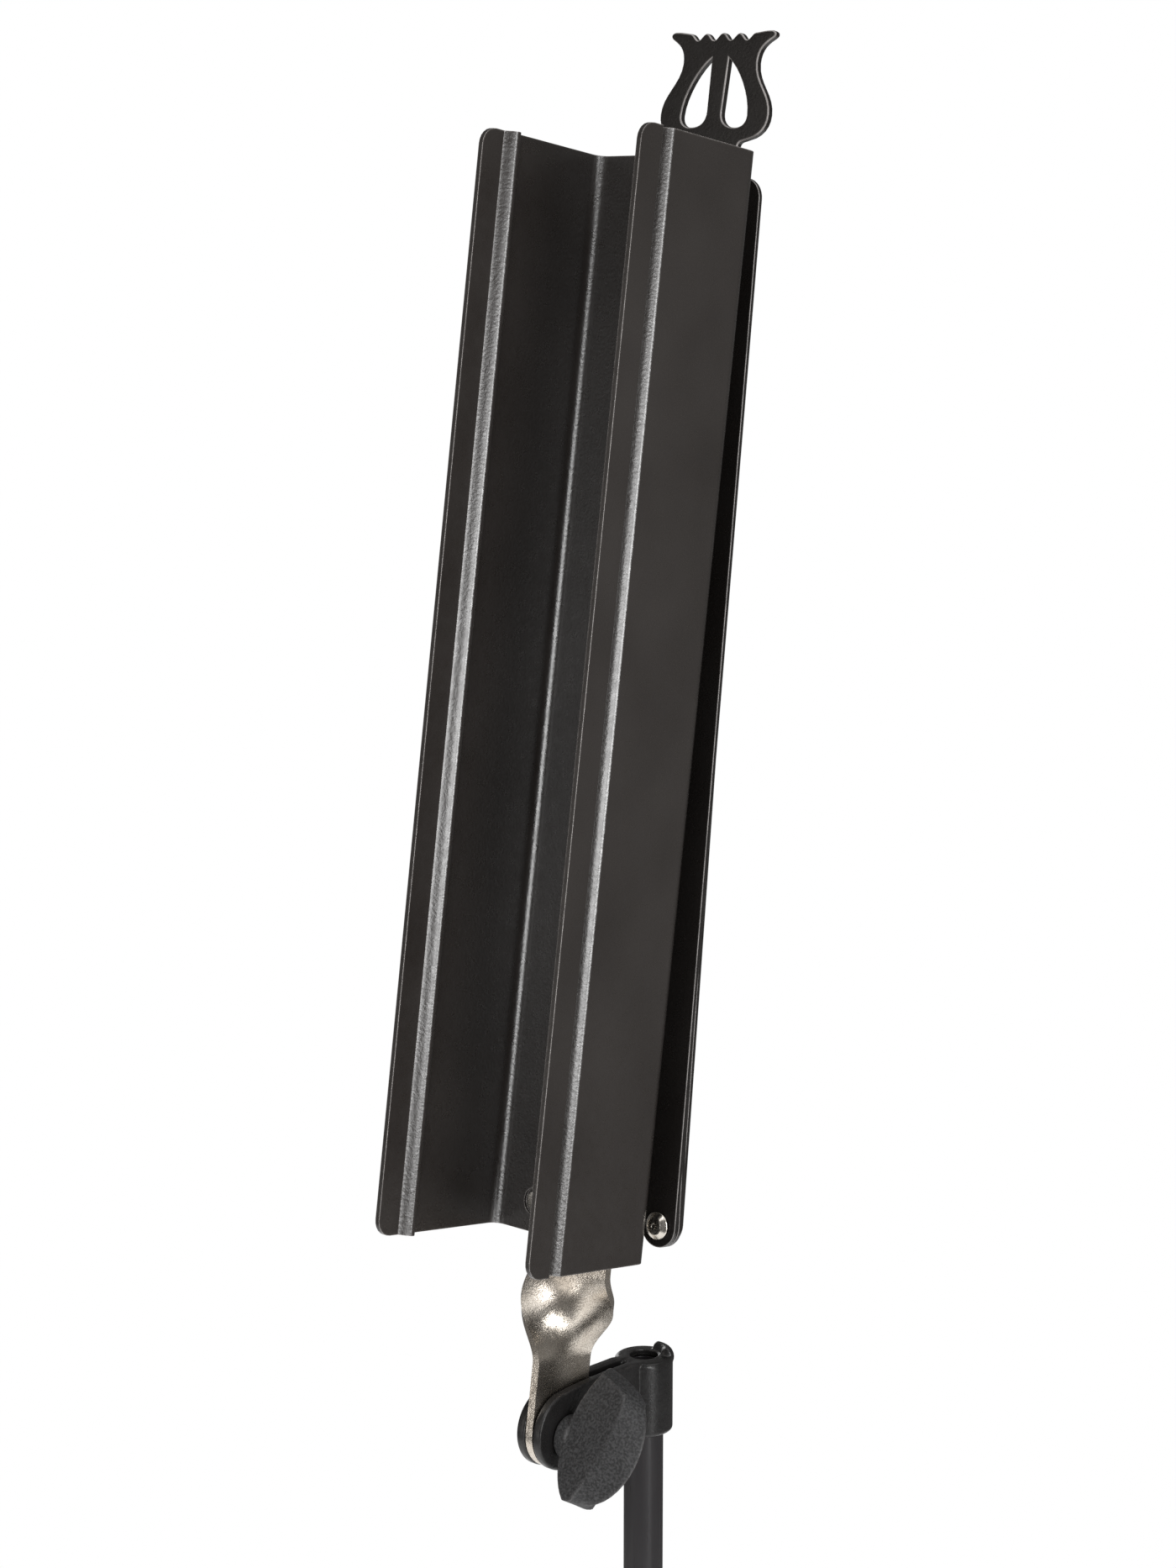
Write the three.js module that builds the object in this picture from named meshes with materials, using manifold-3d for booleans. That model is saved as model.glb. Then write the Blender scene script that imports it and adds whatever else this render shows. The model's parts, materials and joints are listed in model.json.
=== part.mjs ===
// Folding music stand: a sheet-steel desk on a three-part tube with a tripod.
// Millimetres, +Z up. The player sits on the -Y side and the desk leans back towards +Y.
// The floor is Z = 0 and the tube's axis is the line X = Y = 0 until the last step.
import * as THREE from "three";
import { mergeVertices } from "three/addons/utils/BufferGeometryUtils.js";
import Module from "manifold-3d";

const wasm = await Module();
wasm.setup();

// ---- driving dimensions ----
const GAP = 0.3; // clearance between neighbouring pieces
const LEAN = THREE.MathUtils.degToRad(8.6); // desk's lean back from upright
const TILT_Z = 640; // height of the tilt axis
const TILT_Y = -32; // tilt axis, in front of the tube's axis

// desk: x to the right, v back through the desk, w up along it, from the tilt axis
const LEDGE_LENGTH = 250;
const LEDGE_START_W = 45; // lower end of the folded ledges
const LEDGE_SHEET = 1.2;
const LEDGE_SHELF_X = 22.4; // inner face of the shelf
const LEDGE_BACK_V = -2.5; // front face of the back plate
const LEDGE_BACK_WIDTH = 18;
const LEDGE_SHELF_DEPTH = 28.4;
const LEDGE_BEAD_WIDTH = 4.6;
const LEDGE_BEAD_HEIGHT = 2.6;
const LEDGE_LIP = 6.6;
const LEDGE_BEND_R = 2.6;
const LEDGE_PIVOT_X = 11;
const LEDGE_PIVOT_W = LEDGE_START_W + 7.2;

const BRACKET_THICK = 2;
const BRACKET_HALF = 11.2; // half the strip's width above the twist
const LUG_HALF = 9.1; // and below it
const LUG_CENTRE_W = 1; // the lug's round end is drawn from just above the tilt axis
const BRACKET_TOP_W = 79;
const BRACKET_HEAD_HALF = 14.6;
const TWIST_LOW_W = 17;
const TWIST_HIGH_W = 39;
const BRACKET_RIVET_W = [65, 73];

const LYRE_FRONT_V = 1.3;
const LYRE_THICK = 1.8;
const LYRE_BAR_WIDTH = 16;
const LYRE_LEAN = THREE.MathUtils.degToRad(1.55); // its top leans to the right
const LYRE_BASE_W = 53.5;

const BAR_THICK = 1.2;
const BAR_WIDTH = 10;
const BAR_PITCH = BAR_THICK + GAP;
const BAR_FRONT_V = LYRE_FRONT_V + LYRE_THICK + GAP;
const ARM_PIVOT_UP = 240.5; // the arms' common pivot, along the lyre bar from its base
const ARM_PIVOT = [ARM_PIVOT_UP * Math.sin(LYRE_LEAN), LYRE_BASE_W + ARM_PIVOT_UP * Math.cos(LYRE_LEAN)];
const ARM_END = { right: [21.6, 52.8], left: [19.6, 52.8] }; // x, w of an arm's outer end, folded
const SIDE_TOP = { right: [15.8, 285.4], left: [10.4, 285] }; // x, w of a side bar's free end

// head that grips the rod and the desk's lug
const EAR_INNER = 1.3;
const EAR_THICK = 2.4;
const EAR_R = 9.3;
const EAR_CENTRE_Z = 1; // an ear's round end is drawn from just above the tilt axis
const SOCKET_R = 7;
const SOCKET_TOP = 9.9; // above the tilt axis
const SOCKET_BOTTOM = -8.6;
const HOOD_ARC = [0.49, 1.83]; // from +X towards +Y, round the socket
const HOOD_RISE = 1.5;
const MOUTH_R = 3.3;
const SCREW_R = 2.5;
const HUB_R = 5.3;
const PADDLE_HALF = 4.5; // half the knob paddle's thickness
const PADDLE_TURN = THREE.MathUtils.degToRad(31); // the paddle's lean about the tilt axis

// tubes
const ROD_R = 4.75;
const ROD_WALL = 1.25;
const ROD_BOTTOM_Z = 330;
const MIDDLE_R = 6.5;
const MIDDLE_WALL = 1;
const MIDDLE_Z = [210, 503];
const BASE_R = 8.25;
const BASE_WALL = 1;
const BASE_Z = [60, 372];
const CLAMP_KNOB_R = 13;

// tripod
const CROWN_Z = [140, 177];
const CROWN_R = 14.5;
const LEG_PIVOT_R = 24;
const LEG_PIVOT_Z = 167;
const LEG_LENGTH = 335;
const LEG_OPEN = THREE.MathUtils.degToRad(62); // from straight down
const LEG_WIDTH = 9.4;
const LEG_HEIGHT = 12;
const LEG_WALL = 1.5;
const LEG_AZIMUTHS = [-90, 30, 150];

const ROUND = 28; // segments round a plain cylinder

// ---- materials ----
const finish = (color, roughness, metalness) => ({ color, roughness, metalness });
const BLACK = finish(0x26221f, 0.5, 0.2);
const NICKEL = finish(0xb9b2a6, 0.3, 0.9);
const PLASTIC = finish(0x2a2b2c, 0.7, 0);
const RUBBER = finish(0x1c1c1d, 0.9, 0);
const BRASS = finish(0xb08d4a, 0.35, 0.9);

const stand = new THREE.Group();
stand.name = "music_stand";

// ---- geometry tools ----

function addNode(name, geometry, look) {
  const material = new THREE.MeshStandardMaterial(look);
  material.name = name;
  const mesh = new THREE.Mesh(geometry, material);
  mesh.name = name;
  stand.add(mesh);
  return mesh;
}

function toSolid(geometry) {
  const bare = geometry.clone();
  bare.deleteAttribute("normal");
  bare.deleteAttribute("uv");
  const merged = mergeVertices(bare, 1e-4);
  const vertProperties = new Float32Array(merged.attributes.position.array);
  const triVerts = new Uint32Array(merged.index.array);
  return new wasm.Manifold(new wasm.Mesh({ numProp: 3, vertProperties, triVerts }));
}

function toGeometry(solid) {
  const mesh = solid.getMesh();
  const geometry = new THREE.BufferGeometry();
  geometry.setAttribute("position", new THREE.BufferAttribute(mesh.vertProperties.slice(), 3));
  geometry.setIndex(new THREE.BufferAttribute(mesh.triVerts.slice(), 1));
  const flat = geometry.toNonIndexed();
  flat.computeVertexNormals();
  return flat;
}

function join(...geometries) {
  const solids = geometries.map(toSolid);
  return toGeometry(solids.reduce((whole, piece) => whole.add(piece)));
}

function cut(geometry, ...tools) {
  const solid = tools.map(toSolid).reduce((rest, tool) => rest.subtract(tool), toSolid(geometry));
  return toGeometry(solid);
}

function overlap(geometry, ...others) {
  const solid = others.map(toSolid).reduce((rest, other) => rest.intersect(other), toSolid(geometry));
  return toGeometry(solid);
}

// A cylinder along +Z from z0 to z1.
function post(radius, z0, z1, segments = ROUND) {
  const geometry = new THREE.CylinderGeometry(radius, radius, z1 - z0, segments);
  geometry.rotateX(Math.PI / 2);
  geometry.translate(0, 0, (z0 + z1) / 2);
  return geometry;
}

// A body turned about Z from a profile of [radius, z] points that starts and ends on the axis.
function turned(profile, segments = ROUND) {
  const points = profile.map(([r, z]) => new THREE.Vector2(r, z));
  const geometry = new THREE.LatheGeometry(points, segments);
  geometry.rotateX(Math.PI / 2);
  return geometry;
}

// A pipe along +Z.
function pipe(outer, inner, z0, z1, segments = ROUND) {
  return cut(post(outer, z0, z1, segments), post(inner, z0 - 1, z1 + 1, segments));
}

function block(x0, x1, y0, y1, z0, z1) {
  const geometry = new THREE.BoxGeometry(x1 - x0, y1 - y0, z1 - z0);
  geometry.translate((x0 + x1) / 2, (y0 + y1) / 2, (z0 + z1) / 2);
  return geometry;
}

function extrude(shape, depth, curveSegments = 7) {
  return new THREE.ExtrudeGeometry(shape, { depth, bevelEnabled: false, curveSegments });
}

// Turn a piece drawn along +Z so that it points along +X, or along +Y.
const alongX = (geometry) => geometry.rotateY(Math.PI / 2);
const alongY = (geometry) => geometry.rotateX(-Math.PI / 2);

// A flat plate drawn in desk coordinates (x, w), from v0 towards the back.
function deskPlate(shape, v0, thick, curveSegments = 7) {
  const geometry = extrude(shape, thick, curveSegments);
  geometry.rotateX(Math.PI / 2);
  geometry.translate(0, v0 + thick, 0);
  return geometry;
}

// A plate drawn in (v, w) that is thick along x, from x0 to x1.
function sidePlate(shape, x0, x1, curveSegments = 10) {
  const geometry = extrude(shape, x1 - x0, curveSegments);
  geometry.applyMatrix4(new THREE.Matrix4().set(0, 0, 1, x0, 1, 0, 0, 0, 0, 1, 0, 0, 0, 0, 0, 1));
  return geometry;
}

// A pin through the desk along v at (x, w).
function deskPin(profile, x, w, segments = 18) {
  const geometry = alongY(turned(profile, segments));
  geometry.translate(x, 0, w);
  return geometry;
}

function roundHole(x, y, radius) {
  const hole = new THREE.Path();
  hole.absarc(x, y, radius, 0, Math.PI * 2, true);
  return hole;
}

function roundedRectangle(x0, x1, y0, y1, r) {
  const shape = new THREE.Shape();
  shape.moveTo(x0 + r, y0);
  shape.lineTo(x1 - r, y0);
  shape.absarc(x1 - r, y0 + r, r, -Math.PI / 2, 0, false);
  shape.lineTo(x1, y1 - r);
  shape.absarc(x1 - r, y1 - r, r, 0, Math.PI / 2, false);
  shape.lineTo(x0 + r, y1);
  shape.absarc(x0 + r, y1 - r, r, Math.PI / 2, Math.PI, false);
  shape.lineTo(x0, y0 + r);
  shape.absarc(x0 + r, y0 + r, r, Math.PI, Math.PI * 1.5, false);
  return shape;
}

// A strip with round ends from one [x, y] point to another.
function strip(from, to, width) {
  const angle = Math.atan2(to[1] - from[1], to[0] - from[0]);
  const r = width / 2;
  const shape = new THREE.Shape();
  shape.absarc(to[0], to[1], r, angle - Math.PI / 2, angle + Math.PI / 2, false);
  shape.absarc(from[0], from[1], r, angle + Math.PI / 2, angle + Math.PI * 1.5, false);
  shape.closePath();
  return shape;
}

// A closed body through rings of equally many [x, y, z] points. A ring lies level in z, the rings
// follow each other upwards, and each turns anticlockwise as seen from above.
function loft(rings) {
  const count = rings[0].length;
  const index = [];
  for (let a = 0; a < (rings.length - 1) * count; a += 1) {
    const b = a % count === count - 1 ? a - count + 1 : a + 1;
    index.push(a, b, a + count, b, b + count, a + count);
  }
  const top = (rings.length - 1) * count;
  const flat = (ring) => ring.map(([x, y]) => new THREE.Vector2(x, y));
  const trianglesOf = (ring) => THREE.ShapeUtils.triangulateShape(flat(ring), []);
  trianglesOf(rings[0]).forEach(([a, b, c]) => index.push(c, b, a));
  trianglesOf(rings.at(-1)).forEach(([a, b, c]) => index.push(top + a, top + b, top + c));
  const geometry = new THREE.BufferGeometry();
  geometry.setAttribute("position", new THREE.Float32BufferAttribute(rings.flat(2), 3));
  geometry.setIndex(index);
  return geometry;
}

// Lean a desk piece back and carry it to the tilt axis.
function seatOnDesk(geometry) {
  geometry.rotateX(-LEAN);
  geometry.translate(0, TILT_Y, TILT_Z);
  return geometry;
}

// ---- desk ----

// Half outline of the folded sheet: back plate, shelf, bead and lip, as the sheet's middle line.
function ledgeMiddleLine() {
  const half = LEDGE_SHEET / 2;
  const backV = LEDGE_BACK_V + half;
  const shelfX = -LEDGE_SHELF_X - half;
  const r = LEDGE_BEND_R + half;
  const beadV = LEDGE_BACK_V - LEDGE_SHELF_DEPTH;
  const line = [[-LEDGE_SHELF_X + LEDGE_BACK_WIDTH, backV]];
  const bendSteps = 5;
  for (let i = 0; i <= bendSteps; i += 1) {
    const a = Math.PI / 2 + (i / bendSteps) * (Math.PI / 2);
    line.push([shelfX + r + r * Math.cos(a), backV - r + r * Math.sin(a)]);
  }
  const beadSteps = 8;
  for (let i = 0; i <= beadSteps; i += 1) {
    const rise = (LEDGE_BEAD_HEIGHT / 2) * (1 - Math.cos((i / beadSteps) * Math.PI * 2));
    line.push([shelfX + rise, beadV - (i / beadSteps) * LEDGE_BEAD_WIDTH]);
  }
  line.push([shelfX, beadV - LEDGE_BEAD_WIDTH - LEDGE_LIP]);
  return line;
}

// Thicken an open line of points into a closed outline.
function thicken(line, thick) {
  const left = [];
  const right = [];
  line.forEach((point, i) => {
    const before = line[Math.max(i - 1, 0)];
    const after = line[Math.min(i + 1, line.length - 1)];
    const dx = after[0] - before[0];
    const dy = after[1] - before[1];
    const length = Math.hypot(dx, dy);
    const nx = (-dy / length) * (thick / 2);
    const ny = (dx / length) * (thick / 2);
    left.push(new THREE.Vector2(point[0] + nx, point[1] + ny));
    right.unshift(new THREE.Vector2(point[0] - nx, point[1] - ny));
  });
  return new THREE.Shape([...left, ...right]);
}

function leftLedge() {
  const top = LEDGE_START_W + LEDGE_LENGTH;
  const sheet = extrude(thicken(ledgeMiddleLine(), LEDGE_SHEET), LEDGE_LENGTH);
  sheet.translate(0, 0, LEDGE_START_W);
  const frontV = LEDGE_BACK_V - LEDGE_SHELF_DEPTH - LEDGE_BEAD_WIDTH - LEDGE_LIP;
  const sideView = sidePlate(roundedRectangle(frontV, 5, LEDGE_START_W, top, 4), -40, 0, 3);
  const backEdge = -LEDGE_SHELF_X + LEDGE_BACK_WIDTH;
  const frontOutline = roundedRectangle(-40, backEdge, LEDGE_START_W, top, 4);
  const frontView = deskPlate(frontOutline, -60, 70, 3);
  const sink = alongY(post(3.25, LEDGE_BACK_V - 5, LEDGE_BACK_V + 0.7));
  const bore = alongY(post(1.9 + GAP, -10, 10));
  sink.translate(-LEDGE_PIVOT_X, 0, LEDGE_PIVOT_W);
  bore.translate(-LEDGE_PIVOT_X, 0, LEDGE_PIVOT_W);
  return cut(overlap(sheet, sideView, frontView), sink, bore);
}

// The same solid seen in a mirror across the plane x = 0.
function mirrored(geometry) {
  const copy = geometry.clone().scale(-1, 1, 1);
  const position = copy.attributes.position;
  for (let i = 0; i < position.count; i += 3) {
    const a = new THREE.Vector3().fromBufferAttribute(position, i);
    const b = new THREE.Vector3().fromBufferAttribute(position, i + 1);
    position.setXYZ(i, b.x, b.y, b.z);
    position.setXYZ(i + 1, a.x, a.y, a.z);
  }
  copy.computeVertexNormals();
  return copy;
}

function ledges() {
  const left = leftLedge();
  addNode("ledge_left", seatOnDesk(left.clone()), BLACK);
  addNode("ledge_right", seatOnDesk(mirrored(left)), BLACK);
}

// Flush rivets that the ledges turn on.
function ledgeRivets() {
  const profile = [
    [0, LEDGE_BACK_V + 0.1],
    [2.95, LEDGE_BACK_V + 0.1],
    [1.9, LEDGE_BACK_V + 0.6],
    [1.9, 1.3],
    [2.8, 1.3],
    [2.8, 2.1],
    [0, 2.1],
  ];
  addNode("ledge_rivet_left", seatOnDesk(deskPin(profile, -LEDGE_PIVOT_X, LEDGE_PIVOT_W)), NICKEL);
  addNode("ledge_rivet_right", seatOnDesk(deskPin(profile, LEDGE_PIVOT_X, LEDGE_PIVOT_W)), NICKEL);
}

// The quarter twist between the narrow lug and the flat head, as a closed sweep of a rectangle.
function twistedStrip() {
  const steps = 12;
  const rings = [];
  for (let i = -1; i <= steps + 1; i += 1) {
    const t = Math.min(Math.max(i / steps, 0), 1);
    const eased = t * t * (3 - 2 * t);
    const angle = (Math.PI / 2) * (1 - eased);
    const w = TWIST_LOW_W + (i / steps) * (TWIST_HIGH_W - TWIST_LOW_W);
    const half = LUG_HALF + (BRACKET_HALF - LUG_HALF) * eased;
    const corners = [[1, -1], [1, 1], [-1, 1], [-1, -1]];
    rings.push(corners.map(([across, through]) => {
      const a = across * half;
      const b = (through * BRACKET_THICK) / 2;
      return [a * Math.cos(angle) - b * Math.sin(angle), a * Math.sin(angle) + b * Math.cos(angle), w];
    }));
  }
  return loft(rings);
}

function tiltBracket() {
  const half = BRACKET_HALF;
  const lug = new THREE.Shape();
  lug.absarc(0, LUG_CENTRE_W, LUG_HALF, Math.PI, Math.PI * 2, false);
  lug.lineTo(LUG_HALF, TWIST_LOW_W);
  lug.lineTo(-LUG_HALF, TWIST_LOW_W);
  lug.closePath();
  lug.holes.push(roundHole(0, 0, SCREW_R + GAP));

  const neck = new THREE.Shape();
  const shoulder = LEDGE_START_W + 0.5;
  neck.moveTo(-half, TWIST_HIGH_W);
  neck.lineTo(half, TWIST_HIGH_W);
  neck.lineTo(half, shoulder - 3);
  neck.quadraticCurveTo(half, shoulder, BRACKET_HEAD_HALF, shoulder);
  neck.lineTo(BRACKET_HEAD_HALF, shoulder + 11);
  neck.quadraticCurveTo(BRACKET_HEAD_HALF, shoulder + 15, half, shoulder + 15);
  neck.lineTo(half, BRACKET_TOP_W);
  neck.lineTo(-half, BRACKET_TOP_W);
  neck.lineTo(-half, shoulder + 15);
  neck.quadraticCurveTo(-BRACKET_HEAD_HALF, shoulder + 15, -BRACKET_HEAD_HALF, shoulder + 11);
  neck.lineTo(-BRACKET_HEAD_HALF, shoulder);
  neck.quadraticCurveTo(-half, shoulder, -half, shoulder - 3);
  neck.closePath();
  neck.holes.push(roundHole(-LEDGE_PIVOT_X, LEDGE_PIVOT_W, 1.9 + GAP));
  neck.holes.push(roundHole(LEDGE_PIVOT_X, LEDGE_PIVOT_W, 1.9 + GAP));
  for (const w of BRACKET_RIVET_W) {
    neck.holes.push(roundHole(0, w, 1.5 + GAP));
  }
  const halfThick = BRACKET_THICK / 2;
  const bracket = join(
    sidePlate(lug, -halfThick, halfThick),
    twistedStrip(),
    deskPlate(neck, -halfThick, BRACKET_THICK),
  );
  addNode("tilt_bracket", seatOnDesk(bracket), NICKEL);
}

// Right half of the lyre's head, from the bar up to the middle of its comb, as Bezier curves.
const LYRE_NECK = [LYRE_BAR_WIDTH / 2, 244.2];
const LYRE_SIDE = [
  [[8.3, 245.2], [9.2, 245], [10.6, 245.5]],
  [[14.6, 246.3], [16.4, 249], [15.6, 252.6]],
  [[14.8, 256.2], [10.9, 258.6], [10.8, 262.6]],
  [[10.8, 265.4], [12, 266.6], [14.4, 267.9]],
  [[15.6, 268.5], [15.3, 269.5], [14.1, 269.7]],
  [[12.2, 269.8], [10.6, 269.4], [9.3, 269.3]],
  [[8.4, 269.2], [7.8, 267.8], [7.1, 267.8]],
  [[6.3, 267.8], [5.9, 269.3], [4.8, 269.3]],
  [[3.7, 269.3], [3.3, 267.8], [2.4, 267.8]],
  [[1.5, 267.8], [1.2, 269.4], [0, 269.4]],
];
const LYRE_OPENING_START = [2.5, 263.6];
const LYRE_OPENING = [
  [[5.6, 261.6], [9.5, 255.4], [9.5, 250.9]],
  [[9.5, 249.2], [8.2, 248.2], [6.4, 248.2]],
  [[3.8, 248.2], [2.3, 249.4], [2.2, 251.6]],
];

const flipped = ([x, y]) => [-x, y];

// Lyre head on a long bar. Drawn upright on its own middle line, then leaned a little.
function lyreOutline() {
  const b = LYRE_BAR_WIDTH / 2;
  const shape = new THREE.Shape();
  shape.moveTo(-b + 1, -8);
  shape.lineTo(b - 1, -8);
  shape.lineTo(b, 12);
  shape.lineTo(...LYRE_NECK);
  for (const [first, second, end] of LYRE_SIDE) {
    shape.bezierCurveTo(...first, ...second, ...end);
  }
  for (let i = LYRE_SIDE.length - 1; i >= 0; i -= 1) {
    const [first, second] = LYRE_SIDE[i].map(flipped);
    const end = flipped(i > 0 ? LYRE_SIDE[i - 1][2] : LYRE_NECK);
    shape.bezierCurveTo(...second, ...first, ...end);
  }
  shape.lineTo(-b, 12);
  shape.closePath();
  for (const side of [-1, 1]) {
    const place = ([x, y]) => [side * x, y];
    const hole = new THREE.Path();
    hole.moveTo(...place(LYRE_OPENING_START));
    for (const curve of LYRE_OPENING) {
      hole.bezierCurveTo(...curve.flatMap(place));
    }
    hole.closePath();
    shape.holes.push(hole);
  }
  for (const w of BRACKET_RIVET_W) {
    const up = w - LYRE_BASE_W;
    shape.holes.push(roundHole(-up * Math.sin(LYRE_LEAN), up * Math.cos(LYRE_LEAN), 1.5 + GAP));
  }
  shape.holes.push(roundHole(0, ARM_PIVOT_UP, 2 + GAP));
  return shape;
}

function lyreBar() {
  const geometry = deskPlate(lyreOutline(), LYRE_FRONT_V, LYRE_THICK, 4);
  geometry.rotateY(LYRE_LEAN);
  geometry.translate(0, 0, LYRE_BASE_W);
  addNode("lyre_bar", seatOnDesk(geometry), BLACK);
}

// Dome rivets that fix the lyre bar to the bracket, flush at the back.
function bracketRivets() {
  BRACKET_RIVET_W.forEach((w, i) => {
    const profile = [
      [0, -2.5],
      [1.6, -2.2],
      [2.7, -1.3],
      [1.4, -1.3],
      [1.4, LYRE_FRONT_V + LYRE_THICK - 0.1],
      [0, LYRE_FRONT_V + LYRE_THICK - 0.1],
    ];
    const name = i === 0 ? "bracket_rivet_lower" : "bracket_rivet_upper";
    addNode(name, seatOnDesk(deskPin(profile, 0, w)), NICKEL);
  });
}

const barFront = (layer) => BAR_FRONT_V + layer * BAR_PITCH;

function foldingBar(name, from, to, holes, layer) {
  const shape = strip(from, to, BAR_WIDTH);
  for (const [x, w, radius] of holes) {
    shape.holes.push(roundHole(x, w, radius));
  }
  addNode(name, seatOnDesk(deskPlate(shape, barFront(layer), BAR_THICK)), BLACK);
}

// Front to back: right side bar, right arm, left arm, left side bar.
function foldingBars() {
  const layers = { right: { side: 0, arm: 1 }, left: { side: 3, arm: 2 } };
  const pivotHole = [...ARM_PIVOT, 2 + GAP];
  for (const hand of ["right", "left"]) {
    const end = ARM_END[hand];
    const endHole = [...end, 1.6 + GAP];
    foldingBar(`side_bar_${hand}`, end, SIDE_TOP[hand], [endHole], layers[hand].side);
    foldingBar(`arm_${hand}`, end, ARM_PIVOT, [endHole, pivotHole], layers[hand].arm);
  }
}

function barRivets() {
  const arm = [
    [0, LYRE_FRONT_V - 1.3],
    [2.6, LYRE_FRONT_V - 1.1],
    [3.8, LYRE_FRONT_V - GAP],
    [2, LYRE_FRONT_V - GAP],
    [2, barFront(2) + BAR_THICK],
    [0, barFront(2) + BAR_THICK],
  ];
  addNode("arm_rivet", seatOnDesk(deskPin(arm, ...ARM_PIVOT)), NICKEL);

  const ring = new THREE.Shape();
  ring.absarc(ARM_PIVOT[0], ARM_PIVOT[1], 3, 0, Math.PI * 2, false);
  ring.holes.push(roundHole(...ARM_PIVOT, 2 + GAP));
  addNode("arm_spacer", seatOnDesk(deskPlate(ring, barFront(0), BAR_THICK)), NICKEL);

  const front = barFront(0);
  const right = [
    [0, front - 1.7],
    [1.8, front - 1.5],
    [3.2, front - GAP],
    [1.6, front - GAP],
    [1.6, barFront(1) + BAR_THICK],
    [0, barFront(1) + BAR_THICK],
  ];
  addNode("side_rivet_right", seatOnDesk(deskPin(right, ...ARM_END.right)), NICKEL);

  const back = barFront(3) + BAR_THICK;
  const left = [
    [0, barFront(2)],
    [1.6, barFront(2)],
    [1.6, back + GAP],
    [3.2, back + GAP],
    [1.8, back + 1.5],
    [0, back + 1.7],
  ];
  addNode("side_rivet_left", seatOnDesk(deskPin(left, ...ARM_END.left)), NICKEL);
}

// ---- tilt head ----

function carryToHead(geometry) {
  return geometry.translate(0, TILT_Y, TILT_Z);
}

// Side outline of an ear: a disc round the tilt screw that runs on, nearly level, into the socket.
function earShape() {
  const reach = -TILT_Y;
  const shape = new THREE.Shape();
  shape.absarc(0, EAR_CENTRE_Z, EAR_R, Math.PI * 0.5, Math.PI * 1.5, false);
  shape.lineTo(reach - 2, SOCKET_BOTTOM);
  shape.lineTo(reach - 2, SOCKET_TOP);
  shape.lineTo(reach - SOCKET_R - 2, SOCKET_TOP + 0.6);
  shape.closePath();
  return shape;
}

function tiltHead() {
  const reach = -TILT_Y;
  const outside = EAR_INNER + EAR_THICK;
  const ears = [sidePlate(earShape(), -outside, -EAR_INNER), sidePlate(earShape(), EAR_INNER, outside)];
  const socket = post(SOCKET_R, SOCKET_BOTTOM, SOCKET_TOP, 32);
  socket.translate(0, reach, 0);
  const hood = new THREE.Shape();
  hood.absarc(0, 0, SOCKET_R, HOOD_ARC[0], HOOD_ARC[1], false);
  hood.absarc(0, 0, SOCKET_R - 3, HOOD_ARC[1], HOOD_ARC[0], true);
  hood.closePath();
  const sunk = 0.6;
  const hoodWall = extrude(hood, sunk + HOOD_RISE, 10);
  hoodWall.translate(0, reach, SOCKET_TOP - sunk);
  const bore = post(ROD_R + GAP, SOCKET_BOTTOM - 1, SOCKET_TOP - 1.5, 32);
  const mouth = post(MOUTH_R, 0, SOCKET_TOP + 5, 24);
  bore.translate(0, reach, 0);
  mouth.translate(0, reach, 0);
  const screwHole = alongX(post(SCREW_R + GAP, -20, 20));
  const head = cut(join(socket, hoodWall, ...ears), bore, mouth, screwHole);
  addNode("tilt_head", carryToHead(head), BLACK);
}

function tiltScrew() {
  const left = -EAR_INNER - EAR_THICK - GAP;
  const profile = [[0, left - 3.2], [4, left - 3.2], [4.6, left - 2.4], [4.6, left], [SCREW_R, left]];
  profile.push([SCREW_R, 16], [0, 16]);
  addNode("tilt_screw", carryToHead(alongX(turned(profile))), NICKEL);
}

// Outlines of the paddle in (x, t), t along it, with the same curves in each: where it is thickest,
// and the smaller flat of its two faces.
function paddleMiddle() {
  const shape = new THREE.Shape();
  shape.moveTo(8.5, 16.9);
  shape.bezierCurveTo(3.2, 7, 3.6, -8, 11.6, -14.2);
  shape.lineTo(17.6, -13.8);
  shape.bezierCurveTo(30.5, -5, 27.5, 13.5, 18.4, 16.8);
  shape.closePath();
  return shape;
}

function paddleFace() {
  const shape = new THREE.Shape();
  shape.moveTo(10.8, 15);
  shape.bezierCurveTo(5.1, 6, 5.1, -8, 12, -14.1);
  shape.lineTo(18.6, -13.4);
  shape.bezierCurveTo(18.2, -3, 21.4, 5, 19.4, 13.4);
  shape.closePath();
  return shape;
}

// A pillow of three rings, with its two faces apart along z.
function paddle() {
  const ringAt = (shape, z) => shape.getPoints(10).slice(0, -1).map(({ x, y }) => [x, y, z]);
  const lower = ringAt(paddleFace(), -PADDLE_HALF);
  const upper = ringAt(paddleFace(), PADDLE_HALF);
  return loft([lower, ringAt(paddleMiddle(), 0), upper]);
}

function tiltKnob() {
  const start = EAR_INNER + EAR_THICK + GAP;
  const wing = paddle();
  wing.rotateX(Math.PI / 2 - PADDLE_TURN);
  const hub = alongX(post(HUB_R, start, 7.2));
  const pocket = alongX(post(3.6 + GAP, start - 1, 16.6));
  addNode("tilt_knob", carryToHead(cut(join(wing, hub), pocket)), PLASTIC);
  const insert = alongX(pipe(3.6, SCREW_R + GAP, start + 0.3, 16.2, 24));
  addNode("tilt_knob_insert", carryToHead(insert), BRASS);
}

// ---- tubes and clamps ----

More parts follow.
